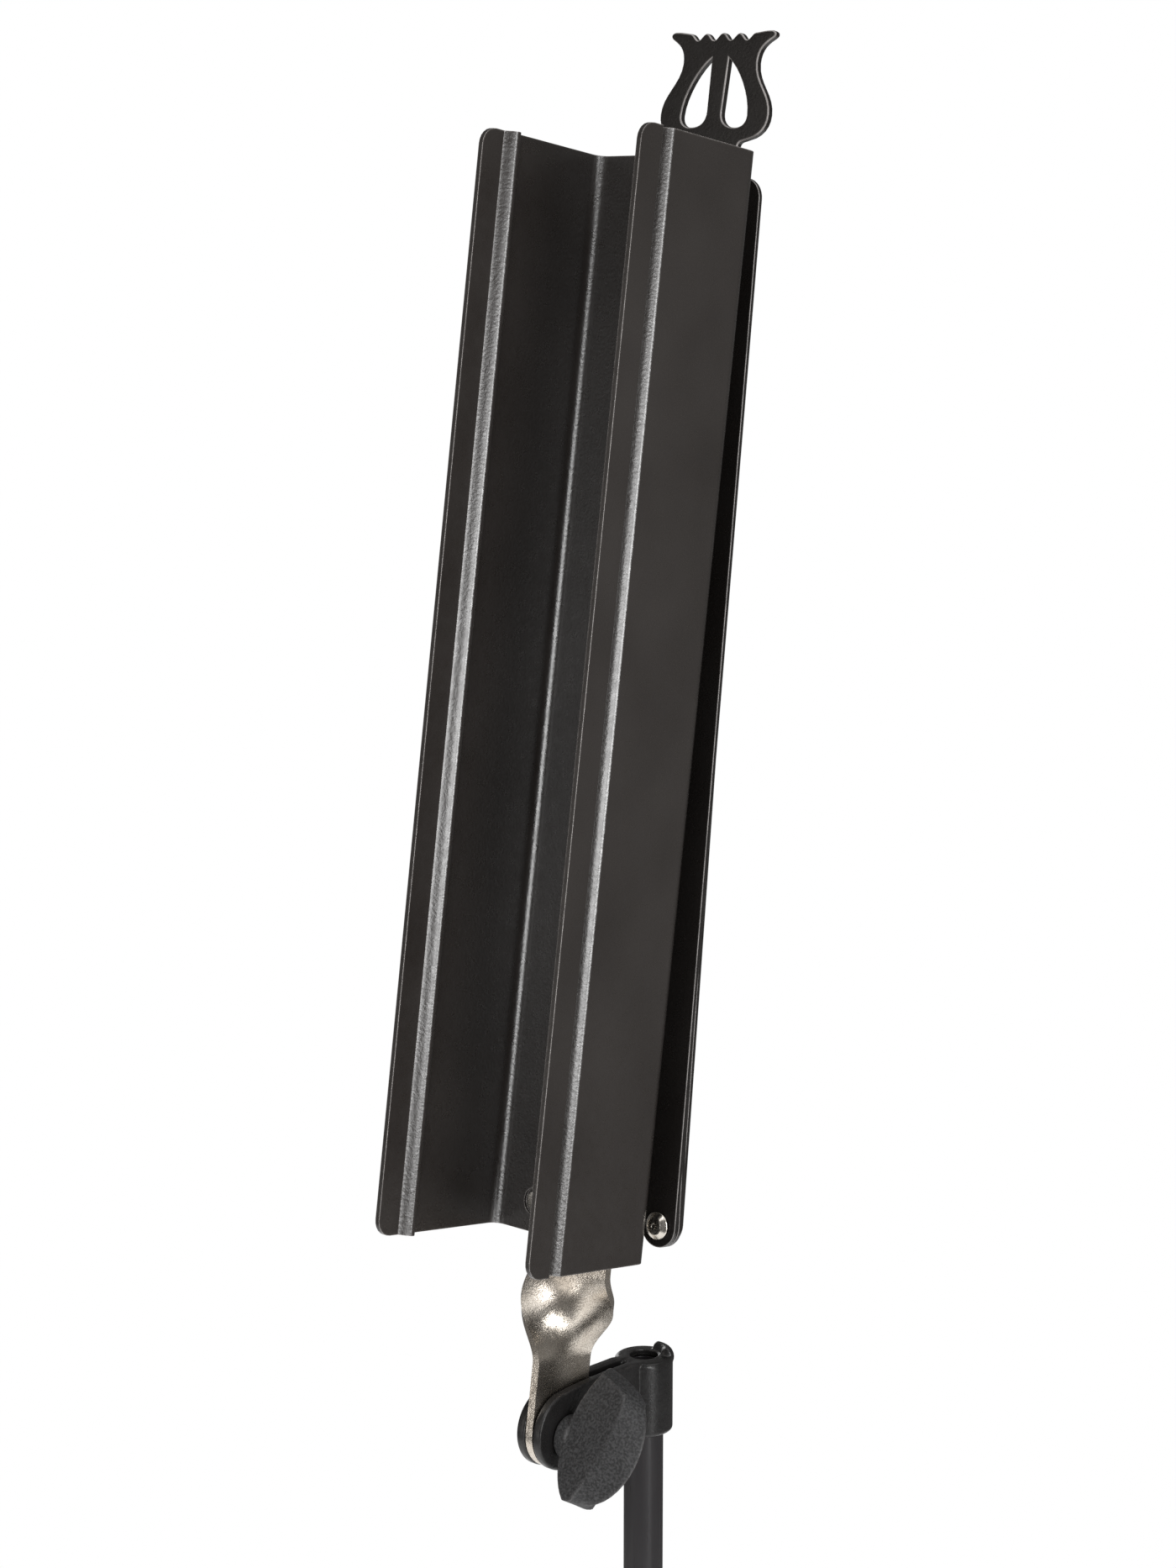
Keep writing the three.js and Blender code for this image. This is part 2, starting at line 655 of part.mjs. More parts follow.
function tubes() {
  const rodTop = TILT_Z + SOCKET_TOP - 1.5 - GAP;
  addNode("upper_rod", pipe(ROD_R, ROD_R - ROD_WALL, ROD_BOTTOM_Z, rodTop), BLACK);
  addNode("middle_tube", clampedTube(MIDDLE_R, MIDDLE_WALL, MIDDLE_Z, MIDDLE_Z[1] - 11), BLACK);
  addNode("base_tube", clampedTube(BASE_R, BASE_WALL, BASE_Z, BASE_Z[1] - 10), BLACK);
  addGuide("upper_rod_guide", ROD_R - ROD_WALL, MIDDLE_R - MIDDLE_WALL, ROD_BOTTOM_Z);
  addGuide("middle_tube_guide", MIDDLE_R - MIDDLE_WALL, BASE_R - BASE_WALL, MIDDLE_Z[0]);
  const [low] = BASE_Z;
  const r = BASE_R - BASE_WALL - GAP;
  const plug = [[0, low - 3], [BASE_R - 1, low - 3], [BASE_R, low - 2.2], [BASE_R, low - GAP]];
  plug.push([r, low - GAP], [r, low + 12], [r - 2, low + 12], [r - 2, low + 1], [0, low + 1]);
  addNode("base_tube_plug", turned(plug), RUBBER);
}

// A tube with a window in its back wall for its clamp's screw.
function clampedTube(radius, wall, [z0, z1], screwZ) {
  const window = alongY(post(3.6, 0, 20, 20));
  window.translate(0, 0, screwZ);
  return cut(pipe(radius, radius - wall, z0, z1), window);
}

// A stepped bush pushed into a tube's lower end, running in the next tube.
function addGuide(name, spigotBore, runBore, z) {
  const spigot = spigotBore - GAP;
  const run = runBore - GAP;
  const profile = [[0, z - 10], [run, z - 10], [run, z - GAP], [spigot, z - GAP], [spigot, z + 12]];
  profile.push([spigot - 1.2, z + 12], [spigot - 1.2, z - 8], [0, z - 8]);
  addNode(name, turned(profile), PLASTIC);
}

// Collar on a tube's top end, with a screw boss at the back.
function addClamp(name, innerR, outerR, tubeTop, screwZ) {
  const bodyR = outerR + 3.6;
  const bottom = tubeTop - 24;
  const top = tubeTop + 9;
  const body = [[0, bottom], [bodyR, bottom], [bodyR, top - 6], [innerR + 3.2, top], [0, top]];
  const boss = alongY(post(5.6, 1, bodyR + 7));
  boss.translate(0, 0, screwZ);
  const seat = post(outerR + GAP, bottom - 1, tubeTop + GAP);
  const throat = post(innerR + GAP, bottom, top + 1);
  const screwHole = alongY(post(3 + GAP, 0, 40, 24));
  screwHole.translate(0, 0, screwZ);
  addNode(name, cut(join(turned(body), boss), seat, throat, screwHole), BLACK);
  addClampScrew(name, innerR, bodyR + 7, screwZ);
}

function addClampScrew(name, innerR, bossEnd, screwZ) {
  const place = (geometry) => alongY(geometry).translate(0, 0, screwZ);
  const padEnd = innerR + 1.8;
  addNode(`${name}_pad`, place(post(2.8, innerR + GAP / 2, padEnd, 20)), BRASS);
  const screwEnd = bossEnd + 13;
  addNode(`${name}_screw`, place(post(2.9, padEnd + GAP, screwEnd, 24)), NICKEL);
  addNode(`${name}_knob`, place(lobedKnob(bossEnd + 0.6, screwEnd + 3)), PLASTIC);
}

// A knob with five lobes and a blind hole for its screw.
function lobedKnob(z0, z1) {
  const lobes = 5;
  const points = [];
  const steps = 40;
  for (let i = 0; i < steps; i += 1) {
    const a = (i / steps) * Math.PI * 2;
    const r = CLAMP_KNOB_R - 2 + 2 * Math.cos(a * lobes);
    points.push(new THREE.Vector2(r * Math.cos(a), r * Math.sin(a)));
  }
  const grip = extrude(new THREE.Shape(points), z1 - z0 - 4);
  grip.translate(0, 0, z0 + 4);
  const hub = post(7, z0, z0 + 5);
  return cut(join(grip, hub), post(2.9 + GAP, z0 - 1, z1 - 2.7, 24));
}

// ---- tripod ----

function crown() {
  const [z0, z1] = CROWN_Z;
  const pieces = [turned([[0, z0], [CROWN_R - 2.5, z0], [CROWN_R, z0 + 4], [CROWN_R, z1], [0, z1]])];
  for (const azimuth of LEG_AZIMUTHS) {
    pieces.push(...[-1, 1].map((side) => crownEar(side, azimuth)));
  }
  const bore = post(BASE_R + GAP, z0 - 1, z1 + 1);
  const pinHoles = LEG_AZIMUTHS.map((azimuth) => legPinSolid(azimuth, 2 + GAP, 30));
  const screwHole = post(2 + GAP, 0, 40, 20);
  alongX(screwHole).translate(0, 0, z0 + 9);
  screwHole.rotateZ(Math.PI / 2);
  addNode("leg_crown", cut(join(...pieces), bore, screwHole, ...pinHoles), BLACK);
  const screw = alongX(post(2, BASE_R + GAP, CROWN_R - 0.6, 20));
  screw.translate(0, 0, z0 + 9);
  addNode("crown_screw", screw.rotateZ(Math.PI / 2), NICKEL);
}

// One of the two cheeks that hold a leg, in the plane of that leg.
function crownEar(side, azimuth) {
  const inner = LEG_WIDTH / 2 + GAP;
  const thick = 3;
  const shape = roundedRectangle(9, LEG_PIVOT_R + 8, LEG_PIVOT_Z - 9, CROWN_Z[1], 4);
  const geometry = extrude(shape, thick, 3);
  geometry.rotateX(Math.PI / 2);
  geometry.translate(0, side > 0 ? inner + thick : -inner, 0);
  return geometry.rotateZ(THREE.MathUtils.degToRad(azimuth));
}

function legPinSolid(azimuth, radius, length) {
  const pin = alongY(post(radius, -length / 2, length / 2, 16));
  pin.translate(LEG_PIVOT_R, 0, LEG_PIVOT_Z);
  return pin.rotateZ(THREE.MathUtils.degToRad(azimuth));
}

// Rivet with two round heads outside the crown's cheeks.
function legRivet(azimuth) {
  const end = LEG_WIDTH / 2 + GAP + 3 + GAP;
  const profile = [
    [0, -end - 1.6],
    [2, -end - 1.4],
    [3.6, -end],
    [2, -end],
    [2, end],
    [3.6, end],
    [2, end + 1.4],
    [0, end + 1.6],
  ];
  const rivet = alongY(turned(profile, 16));
  rivet.translate(LEG_PIVOT_R, 0, LEG_PIVOT_Z);
  return rivet.rotateZ(THREE.MathUtils.degToRad(azimuth));
}

// Carry a piece drawn along +X from the leg's pivot down along the open leg.
function seatOnLeg(geometry, azimuth) {
  geometry.rotateY(Math.PI / 2 - LEG_OPEN);
  geometry.translate(LEG_PIVOT_R, 0, LEG_PIVOT_Z);
  return geometry.rotateZ(THREE.MathUtils.degToRad(azimuth));
}

// Channel section with its open side down.
function legChannel() {
  const w = LEG_WIDTH / 2;
  const h = LEG_HEIGHT / 2;
  const outer = block(-7, LEG_LENGTH, -w, w, -h, h);
  const hollow = block(-8, LEG_LENGTH + 1, -w + LEG_WALL, w - LEG_WALL, -h - 1, h - LEG_WALL);
  return cut(outer, hollow, alongY(post(2 + GAP, -20, 20, 16)));
}

// Rubber boot on the leg's end, cut flat where it stands on the floor.
function boot(azimuth) {
  const outer = new THREE.Shape();
  const w = LEG_WIDTH / 2 + 2.6;
  const h = LEG_HEIGHT / 2 + 2.6;
  const end = LEG_LENGTH + 5;
  outer.moveTo(end - 34, -h + 1);
  outer.lineTo(end, -h - 4);
  outer.quadraticCurveTo(end + 3, 0, end - 4, h);
  outer.lineTo(end - 34, h);
  outer.closePath();
  const body = extrude(outer, 2 * w);
  body.rotateX(Math.PI / 2);
  body.translate(0, w, 0);
  const clear = GAP;
  const socket = block(end - 40, LEG_LENGTH + clear, -LEG_WIDTH / 2 - clear, LEG_WIDTH / 2 + clear,
    -LEG_HEIGHT / 2 - clear, LEG_HEIGHT / 2 + clear);
  const placed = seatOnLeg(cut(body, socket), azimuth);
  return cut(placed, block(-500, 500, -500, 500, -50, 0));
}

function legs() {
  LEG_AZIMUTHS.forEach((azimuth, i) => {
    const n = i + 1;
    addNode(`leg_${n}`, seatOnLeg(legChannel(), azimuth), BLACK);
    addNode(`leg_rivet_${n}`, legRivet(azimuth), NICKEL);
    addNode(`foot_${n}`, boot(azimuth), RUBBER);
  });
}

// ---- assembly ----

tiltBracket();
lyreBar();
bracketRivets();
ledges();
ledgeRivets();
foldingBars();
barRivets();
tiltHead();
tiltScrew();
tiltKnob();
tubes();
addClamp("upper_clamp", ROD_R, MIDDLE_R, MIDDLE_Z[1], MIDDLE_Z[1] - 11);
addClamp("lower_clamp", MIDDLE_R, BASE_R, BASE_Z[1], BASE_Z[1] - 10);
crown();
legs();

// Bring the origin to the middle of the bounding box on the floor.
const bounds = new THREE.Box3().setFromObject(stand);
const centre = bounds.getCenter(new THREE.Vector3());
for (const mesh of stand.children) {
  mesh.geometry.translate(-centre.x, -centre.y, -bounds.min.z);
}

export default stand;
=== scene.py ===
# Looks for the folding music stand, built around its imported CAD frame.
# Pieces are drawn in millimetres and placed in metres in the frame, +Z up, player on the -Y side.
import json
import math

import bmesh
import bpy
from mathutils import Matrix, Vector

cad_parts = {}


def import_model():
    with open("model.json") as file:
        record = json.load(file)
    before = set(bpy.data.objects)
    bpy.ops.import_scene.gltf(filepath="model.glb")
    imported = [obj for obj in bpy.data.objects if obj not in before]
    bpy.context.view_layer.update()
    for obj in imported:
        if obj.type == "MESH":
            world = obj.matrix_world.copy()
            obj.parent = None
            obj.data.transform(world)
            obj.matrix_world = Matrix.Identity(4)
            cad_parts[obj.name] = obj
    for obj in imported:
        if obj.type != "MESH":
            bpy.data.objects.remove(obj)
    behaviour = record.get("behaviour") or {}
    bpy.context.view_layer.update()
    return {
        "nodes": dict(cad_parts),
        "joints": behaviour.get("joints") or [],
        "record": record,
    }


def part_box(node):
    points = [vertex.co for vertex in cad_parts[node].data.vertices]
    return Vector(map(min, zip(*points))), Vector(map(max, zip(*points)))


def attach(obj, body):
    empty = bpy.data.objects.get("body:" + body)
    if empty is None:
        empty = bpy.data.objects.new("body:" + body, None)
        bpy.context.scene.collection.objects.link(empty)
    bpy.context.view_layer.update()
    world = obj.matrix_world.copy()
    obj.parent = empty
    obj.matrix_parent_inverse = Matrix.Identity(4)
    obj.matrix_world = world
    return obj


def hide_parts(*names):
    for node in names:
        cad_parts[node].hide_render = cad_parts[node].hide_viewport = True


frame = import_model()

# ---- driving values, in millimetres ----
MM = 0.001
GAP = 0.3  # clearance between neighbouring pieces, as in the CAD

LEDGE_LENGTH = 250
LEDGE_START = 45  # lower end of the folded ledges, above the tilt axis
LEDGE_SHEET = 1.2
LEDGE_SHELF_X = 22.4
LEDGE_BACK_V = -2.5
LEDGE_BACK_WIDTH = 18
LEDGE_SHELF_DEPTH = 28.4
LEDGE_BEAD_WIDTH = 4.6
LEDGE_BEAD_HEIGHT = 2.6
LEDGE_LIP = 6.6
LEDGE_BEND_R = 2.6
LEDGE_CORNER_R = 4
LEDGE_RIVET_R = 1.9

STRAP_THICK = 2
STRAP_HALF = 11.2  # above the twist
LUG_HALF = 9.1  # below it
LUG_CENTRE = 1
STRAP_TOP = 79
TWIST = (17, 39)
STRAP_RIVETS = (65, 73)
STRAP_RIVET_R = 1.5

LYRE_FRONT = 1.3
LYRE_THICK = 1.8
LYRE_HALF = 8
LYRE_LEAN = math.radians(1.55)
LYRE_BASE = 53.5

BAR_THICK = 1.2
BAR_HALF = 5
BAR_PITCH = BAR_THICK + GAP
BAR_FRONT = LYRE_FRONT + LYRE_THICK + GAP
SIDE_RIVET_R = 1.6
ARM_RIVET_R = 2

EAR_INNER = 1.3
EAR_THICK = 2.4
EAR_R = 9.3
EAR_CENTRE = 1
SOCKET_R = 7
SOCKET_TOP = 9.9
SOCKET_BOTTOM = -8.6
SCREW_R = 2.5
HUB_R = 5.3
PADDLE_HALF = 4.5
PADDLE_TURN = math.radians(31)

ROD_R = 4.75
MIDDLE_R = 6.5
BASE_R = 8.25

LEG_WIDTH = 9.4
LEG_HEIGHT = 12
LEG_WALL = 1.5
LEG_OPEN = math.radians(62)
LEG_AZIMUTHS = (-90, 30, 150)
LEG_RIVET_R = 2
CHEEK_THICK = 3

RIM = "rim"  # the face attribute that marks the rounding of a piece's edges
RIM_TILT = (0.45, 0.85)  # how upright the normals of a plate's rounding are

# ---- the studio, in metres ----
CAMERA_OFFSET = Vector((0.4505, -0.5007, 0.2699))  # from the tilt axis
CAMERA_PITCH = math.radians(80.14)
CAMERA_TURN = math.radians(41.32)
CAMERA_LENS = 70.05
FLOOR_R = 1.15
FLOOR_GLOW = 0.5
ROOM_GLOW = 0.14

# ---- places, read from the frame ----
RECORD = frame["record"]
JOINTS = {joint["name"]: joint for joint in frame["joints"]}
BODY_OF = {}
for body, nodes in RECORD["behaviour"]["bodies"].items():
    for node in nodes:
        BODY_OF[node] = body

TO_METRES = Matrix.Scale(MM, 4)
TILT = Vector(JOINTS["desk_tilt"]["pos_m"])
FOLD_AXIS = JOINTS["ledge_left_fold"]["axis"]
LEAN = math.atan2(FOLD_AXIS[2], -FOLD_AXIS[1])
DESK = Matrix.Translation(TILT) @ Matrix.Rotation(-LEAN, 4, "X") @ TO_METRES
HEAD = Matrix.Translation(TILT) @ TO_METRES
AXIS = Vector(JOINTS["head_swivel"]["pos_m"])
REACH = (AXIS.y - TILT.y) / MM
TUBE = Matrix.Translation((AXIS.x, AXIS.y, 0)) @ TO_METRES


def desk_place(joint):
    """Where a joint's axis crosses the desk, as (x, v, w) in millimetres."""
    return DESK.inverted() @ Vector(JOINTS[joint]["pos_m"])


LEDGE_PIVOT = desk_place("ledge_right_fold")
ARM_PIVOT = desk_place("arm_right_swing")
ARM_END = {"right": desk_place("side_bar_right_swing"), "left": desk_place("side_bar_left_swing")}


# ---- outlines ----

def arc(x, y, radius, start, end, steps=12):
    """Points on an arc from start to end degrees."""
    angles = [math.radians(start + (end - start) * i / steps) for i in range(steps + 1)]
    return [(x + radius * math.cos(a), y + radius * math.sin(a)) for a in angles]


def circle(x, y, radius, steps=40):
    return arc(x, y, radius, 0, 360, steps)[:-1]


def traced(start, segments, steps=9):
    """A line through straight segments of one point and Bezier segments of three."""
    points = [Vector(start)]
    for segment in segments:
        if len(segment) == 1:
            points.append(Vector(segment[0]))
            continue
        a = points[-1]
        b, c, d = (Vector(p) for p in segment)
        for i in range(1, steps + 1):
            t = i / steps
            s = 1 - t
            points.append(a * s**3 + b * 3 * s * s * t + c * 3 * s * t * t + d * t**3)
    return [tuple(p) for p in points]


def filleted(corners, closed=True, steps=5):
    """A line through corners (x, y, radius), each one rounded to its radius."""
    points = []
    count = len(corners)
    for i, (x, y, radius) in enumerate(corners):
        here = Vector((x, y))
        if radius == 0 or (not closed and i in (0, count - 1)):
            points.append(tuple(here))
            continue
        back = (Vector(corners[i - 1][:2]) - here).normalized()
        on = (Vector(corners[(i + 1) % count][:2]) - here).normalized()
        half = back.angle(on) / 2
        centre = here + (back + on).normalized() * (radius / math.sin(half))
        start = here + back * (radius / math.tan(half)) - centre
        end = here + on * (radius / math.tan(half)) - centre
        turn = start.angle_signed(end)
        for k in range(steps + 1):
            a = -turn * k / steps
            c, s = math.cos(a), math.sin(a)
            points.append((centre.x + start.x * c - start.y * s, centre.y + start.x * s + start.y * c))
    return points


# ---- meshes ----

def mesh_object(name, vertices, faces):
    mesh = bpy.data.meshes.new(name)
    mesh.from_pydata(vertices, [], faces)
    obj = bpy.data.objects.new(name, mesh)
    bpy.context.scene.collection.objects.link(obj)
    return obj


def with_mesh(obj):
    """Apply the object's modifiers, or turn a curve into a mesh, and make its faces point out."""
    depsgraph = bpy.context.evaluated_depsgraph_get()
    depsgraph.update()
    mesh = bpy.data.meshes.new_from_object(obj.evaluated_get(depsgraph))
    name = obj.name
    bpy.data.objects.remove(obj)
    made = bpy.data.objects.new(name, mesh)
    bpy.context.scene.collection.objects.link(made)
    work = bmesh.new()
    work.from_mesh(mesh)
    bmesh.ops.remove_doubles(work, verts=work.verts, dist=1e-4)
    bmesh.ops.recalc_face_normals(work, faces=work.faces)
    work.to_mesh(mesh)
    work.free()
    return made


def mark_rims(obj, is_rim):
    """Note on each face whether it belongs to the rounding of the piece's edges."""
    rims = obj.data.attributes.new(RIM, "FLOAT", "FACE")
    for face in obj.data.polygons:
        rims.data[face.index].value = 1 if is_rim(face) else 0
    return obj


def lathe(name, profile, segments=64, closed=False):
    """A body turned about Z from (radius, z) points that start and end on the axis, or close."""
    vertices = []
    rings = []
    for radius, z in profile:
        if radius < 1e-6:
            rings.append([len(vertices)] * segments)
            vertices.append((0, 0, z))
            continue
        rings.append(list(range(len(vertices), len(vertices) + segments)))
        for i in range(segments):
            a = math.tau * i / segments
            vertices.append((radius * math.cos(a), radius * math.sin(a), z))
    pairs = list(zip(rings, rings[1:]))
    if closed:
        pairs.append((rings[-1], rings[0]))
    faces = []
    for low, high in pairs:
        for i in range(segments):
            k = (i + 1) % segments
            corners = list(dict.fromkeys((low[i], low[k], high[k], high[i])))
            if len(corners) > 2:
                faces.append(corners)
    return with_mesh(mesh_object(name, vertices, faces))


def loft_faces(rings, count):
    """Faces of a closed body through rings of count points each."""
    faces = [tuple(reversed(range(count))), tuple(range((rings - 1) * count, rings * count))]
    for i in range(rings - 1):
        for k in range(count):
            n = (k + 1) % count
            faces.append((i * count + k, i * count + n, (i + 1) * count + n, (i + 1) * count + k))
    return faces


def plate(name, outline, thick, bevel, holes=(), steps=2):
    """A flat plate in the XY plane, centred on Z = 0, with rounded rims."""
    curve = bpy.data.curves.new(name, "CURVE")
    curve.dimensions = "2D"
    curve.fill_mode = "BOTH"
    curve.extrude = thick / 2 - bevel
    curve.bevel_depth = bevel
    curve.bevel_resolution = steps
    curve.offset = -bevel
    for loop in (outline, *holes):
        spline = curve.splines.new("POLY")
        spline.points.add(len(loop) - 1)
        spline.use_cyclic_u = True
        for point, (x, y) in zip(spline.points, loop):
            point.co = (x, y, 0, 1)
    obj = bpy.data.objects.new(name, curve)
    bpy.context.scene.collection.objects.link(obj)
    return mark_rims(with_mesh(obj), lambda face: RIM_TILT[0] < abs(face.normal.z) < RIM_TILT[1])


def transformed(obj, matrix):
    obj.data.transform(matrix)
    return obj


def moved(obj, x, y, z):
    return transformed(obj, Matrix.Translation((x, y, z)))


def faces_front(obj, front):
    """Stand an XY plate up in the desk, as (x, w), with its front face at v = front."""
    low = min(v.co.z for v in obj.data.vertices)
    high = max(v.co.z for v in obj.data.vertices)
    transformed(obj, Matrix.Rotation(math.pi / 2, 4, "X"))
    return moved(obj, 0, front + (high - low) / 2, 0)


def faces_side(obj, x):
    """Stand an XY plate up as (v, w) or (y, z), centred on x."""
    turn = Matrix(((0, 0, 1, x), (1, 0, 0, 0), (0, 1, 0, 0), (0, 0, 0, 1)))
    return transformed(obj, turn)


def along_x(obj):
    return transformed(obj, Matrix.Rotation(math.pi / 2, 4, "Y"))


def along_y(obj):
    return transformed(obj, Matrix.Rotation(-math.pi / 2, 4, "X"))


def rod_tool(radius, low, high, segments=48):
    return lathe("tool", [(0, low), (radius, low), (radius, high), (0, high)], segments)


def block_tool(x, y, z):
    """A box between the pairs x, y and z."""
    vertices = [(a, b, c) for a in x for b in y for c in z]
    faces = [(0, 1, 3, 2), (4, 6, 7, 5), (0, 4, 5, 1), (2, 3, 7, 6), (0, 2, 6, 4), (1, 5, 7, 3)]
    return with_mesh(mesh_object("tool", vertices, faces))


def combine(obj, operation, tools):
    """Join tools to obj or cut them from it, one after another."""
    for tool in tools:
        modifier = obj.modifiers.new("combine", "BOOLEAN")
        modifier.operation = operation
        modifier.solver = "EXACT"
        modifier.object = tool
        obj = with_mesh(obj)
        bpy.data.objects.remove(tool)
    return obj


def rimmed(obj, width, segments=3, angle=38):
    """Round every sharp edge, and mark the roundings."""
    for _ in range(2):
        obj.data.materials.append(None)
    bevel = obj.modifiers.new("rims", "BEVEL")
    bevel.material = 1
    bevel.width = width
    bevel.segments = segments
    bevel.limit_method = "ANGLE"
    bevel.angle_limit = math.radians(angle)
    bevel.use_clamp_overlap = True
    made = mark_rims(with_mesh(obj), lambda face: face.material_index == 1)
    for face in made.data.polygons:
        face.material_index = 0
    return made


def cast(obj, voxel, passes):
    """Remesh a joined body and soften it, so that its parts flow together like a casting."""
    remesh = obj.modifiers.new("cast", "REMESH")
    remesh.mode = "VOXEL"
    remesh.voxel_size = voxel
    smooth = obj.modifiers.new("flow", "SMOOTH")
    smooth.factor = 0.5
    smooth.iterations = passes
    return with_mesh(obj)


def show(obj, node, material, place, crisp=True):
    """Put a finished piece at its place in the frame, where it stands for its CAD node."""
    transformed(obj, place)
    obj.data.shade_smooth()
    if crisp:
        obj.data.set_sharp_from_angle(angle=math.radians(40))
        weighted = obj.modifiers.new("normals", "WEIGHTED_NORMAL")
        weighted.keep_sharp = True
    obj.name = node + "_look"
    obj.data.name = obj.name
    obj.data.materials.clear()
    obj.data.materials.append(material)
    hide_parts(node)
    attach(obj, BODY_OF[node])
    return obj


# ---- materials ----

class Finish:
    """A node material with one Principled shader, read in the piece's own coordinates."""

    def __init__(self, name, colour, roughness, metallic=0.0, specular=0.5):
        self.material = bpy.data.materials.new(name)
        self.material.use_nodes = True
        self.tree = self.material.node_tree
        self.shader = self.tree.nodes["Principled BSDF"]
        self.shader.inputs["Base Color"].default_value = (*colour, 1)
        self.shader.inputs["Roughness"].default_value = roughness
        self.shader.inputs["Metallic"].default_value = metallic
        self.shader.inputs["Specular IOR Level"].default_value = specular
        self.coordinates = self.tree.nodes.new("ShaderNodeTexCoord").outputs["Object"]

    def link(self, source, target):
        self.tree.links.new(source, target)

    def noise(self, scale, detail=3.0, stretch=None):
        """Noise of about 1/scale metres a grain, from 0 to 1."""
        node = self.tree.nodes.new("ShaderNodeTexNoise")
        node.inputs["Scale"].default_value = scale
        node.inputs["Detail"].default_value = detail
        source = self.coordinates
        if stretch:
            mapping = self.tree.nodes.new("ShaderNodeMapping")
            mapping.inputs["Scale"].default_value = stretch
            self.link(source, mapping.inputs["Vector"])
            source = mapping.outputs["Vector"]
        self.link(source, node.inputs["Vector"])
        return node.outputs["Fac"]

    def levels(self, source, low, high, to_low, to_high):
        """Stretch low..high of a value to to_low..to_high."""
        node = self.tree.nodes.new("ShaderNodeMapRange")
        for name, value in zip(("From Min", "From Max", "To Min", "To Max"), (low, high, to_low, to_high)):
            node.inputs[name].default_value = value
        self.link(source, node.inputs["Value"])
        return node.outputs["Result"]

    def times(self, a, b):
        node = self.tree.nodes.new("ShaderNodeMath")
        node.operation = "MULTIPLY"
        self.link(a, node.inputs[0])
        self.link(b, node.inputs[1])
        return node.outputs["Value"]

    def mixed(self, factor, first, second):
        """Mix two colours, each a socket or three numbers."""
        node = self.tree.nodes.new("ShaderNodeMix")
        node.data_type = "RGBA"
        self.link(factor, node.inputs["Factor"])
        for name, colour in (("A", first), ("B", second)):
            socket = next(s for s in node.inputs if s.name == name and s.type == "RGBA")
            if isinstance(colour, tuple):
                socket.default_value = (*colour, 1)
            else:
                self.link(colour, socket)
        return next(s for s in node.outputs if s.type == "RGBA")

    def edges(self, radius, low=0.86, high=0.995):
        """1 close to sharp edges, within radius metres, and 0 on flat faces."""
        bevel = self.tree.nodes.new("ShaderNodeBevel")
        bevel.inputs["Radius"].default_value = radius
        plain = self.tree.nodes.new("ShaderNodeNewGeometry")
        dot = self.tree.nodes.new("ShaderNodeVectorMath")
        dot.operation = "DOT_PRODUCT"
        self.link(bevel.outputs["Normal"], dot.inputs[0])
        self.link(plain.outputs["Normal"], dot.inputs[1])
        return self.levels(dot.outputs["Value"], low, high, 1, 0)

    def rims(self):
        """1 on the strips that round a piece's edges and 0 elsewhere."""
        node = self.tree.nodes.new("ShaderNodeAttribute")
        node.attribute_name = RIM
        return node.outputs["Fac"]

    def bumps(self, *layers):
        """Raise the surface by several (height socket, distance in metres) layers."""
        below = None
        for height, distance in layers:
            bump = self.tree.nodes.new("ShaderNodeBump")
            bump.inputs["Distance"].default_value = distance
            self.link(height, bump.inputs["Height"])
            if below:
                self.link(below, bump.inputs["Normal"])
            below = bump.outputs["Normal"]
        self.link(below, self.shader.inputs["Normal"])

    def set(self, name, socket):
        self.link(socket, self.shader.inputs[name])


def powder_coat():
    """Brownish black satin powder coat with fine orange peel, painted lighter on its edges as partly wear and
    partly painted highlight, and pale grey on its rounded rims as a painted highlight.
    """
    finish = Finish("powder_coat", (0.026, 0.023, 0.021), 0.3, specular=0.5)
    cloud = finish.noise(35, 2)
    peel = finish.noise(1500, 2)
    grain = finish.noise(5200, 1)
    cloudy = finish.levels(cloud, 0.3, 0.7, 0, 1)
    body = finish.mixed(cloudy, (0.0095, 0.008, 0.0072), (0.014, 0.0122, 0.0112))
    chips = finish.levels(finish.noise(900, 4), 0.4, 0.62, 0.5, 1)
    # Edges painted lighter where the noise allows: partly chipped wear, partly a painted highlight of the
    # light the edges catch.
    wear_and_edge_highlight = finish.times(finish.edges(0.0006), chips)
    body = finish.mixed(wear_and_edge_highlight, body, (0.06, 0.055, 0.052))
    # Rounded rims painted pale grey, dashed by noise: a painted highlight that stands in for the light the
    # rims reflect.
    painted_rim_highlight = finish.times(finish.rims(), finish.levels(finish.noise(300, 3), 0.35, 0.6, 0.6, 1))
    finish.set("Base Color", finish.mixed(painted_rim_highlight, body, (0.33, 0.31, 0.3)))
    finish.set("Roughness", finish.levels(finish.noise(420, 4), 0.3, 0.7, 0.25, 0.34))
    finish.bumps((peel, 0.00005), (grain, 0.000012))
    return finish.material


def satin_enamel():
    """Smoother satin black of the tubes, drawn out lengthwise."""
    finish = Finish("satin_enamel", (0.022, 0.0205, 0.022), 0.3, specular=0.45)
    drawn = finish.noise(900, 3, (1, 1, 0.04))
    cloud = finish.noise(60, 2)
    finish.set("Base Color", finish.mixed(cloud, (0.018, 0.0165, 0.018), (0.028, 0.0255, 0.0275)))
    finish.set("Roughness", finish.levels(drawn, 0.3, 0.7, 0.26, 0.38))
    finish.bumps((drawn, 0.00001), (finish.noise(2500, 2), 0.000012))
    return finish.material


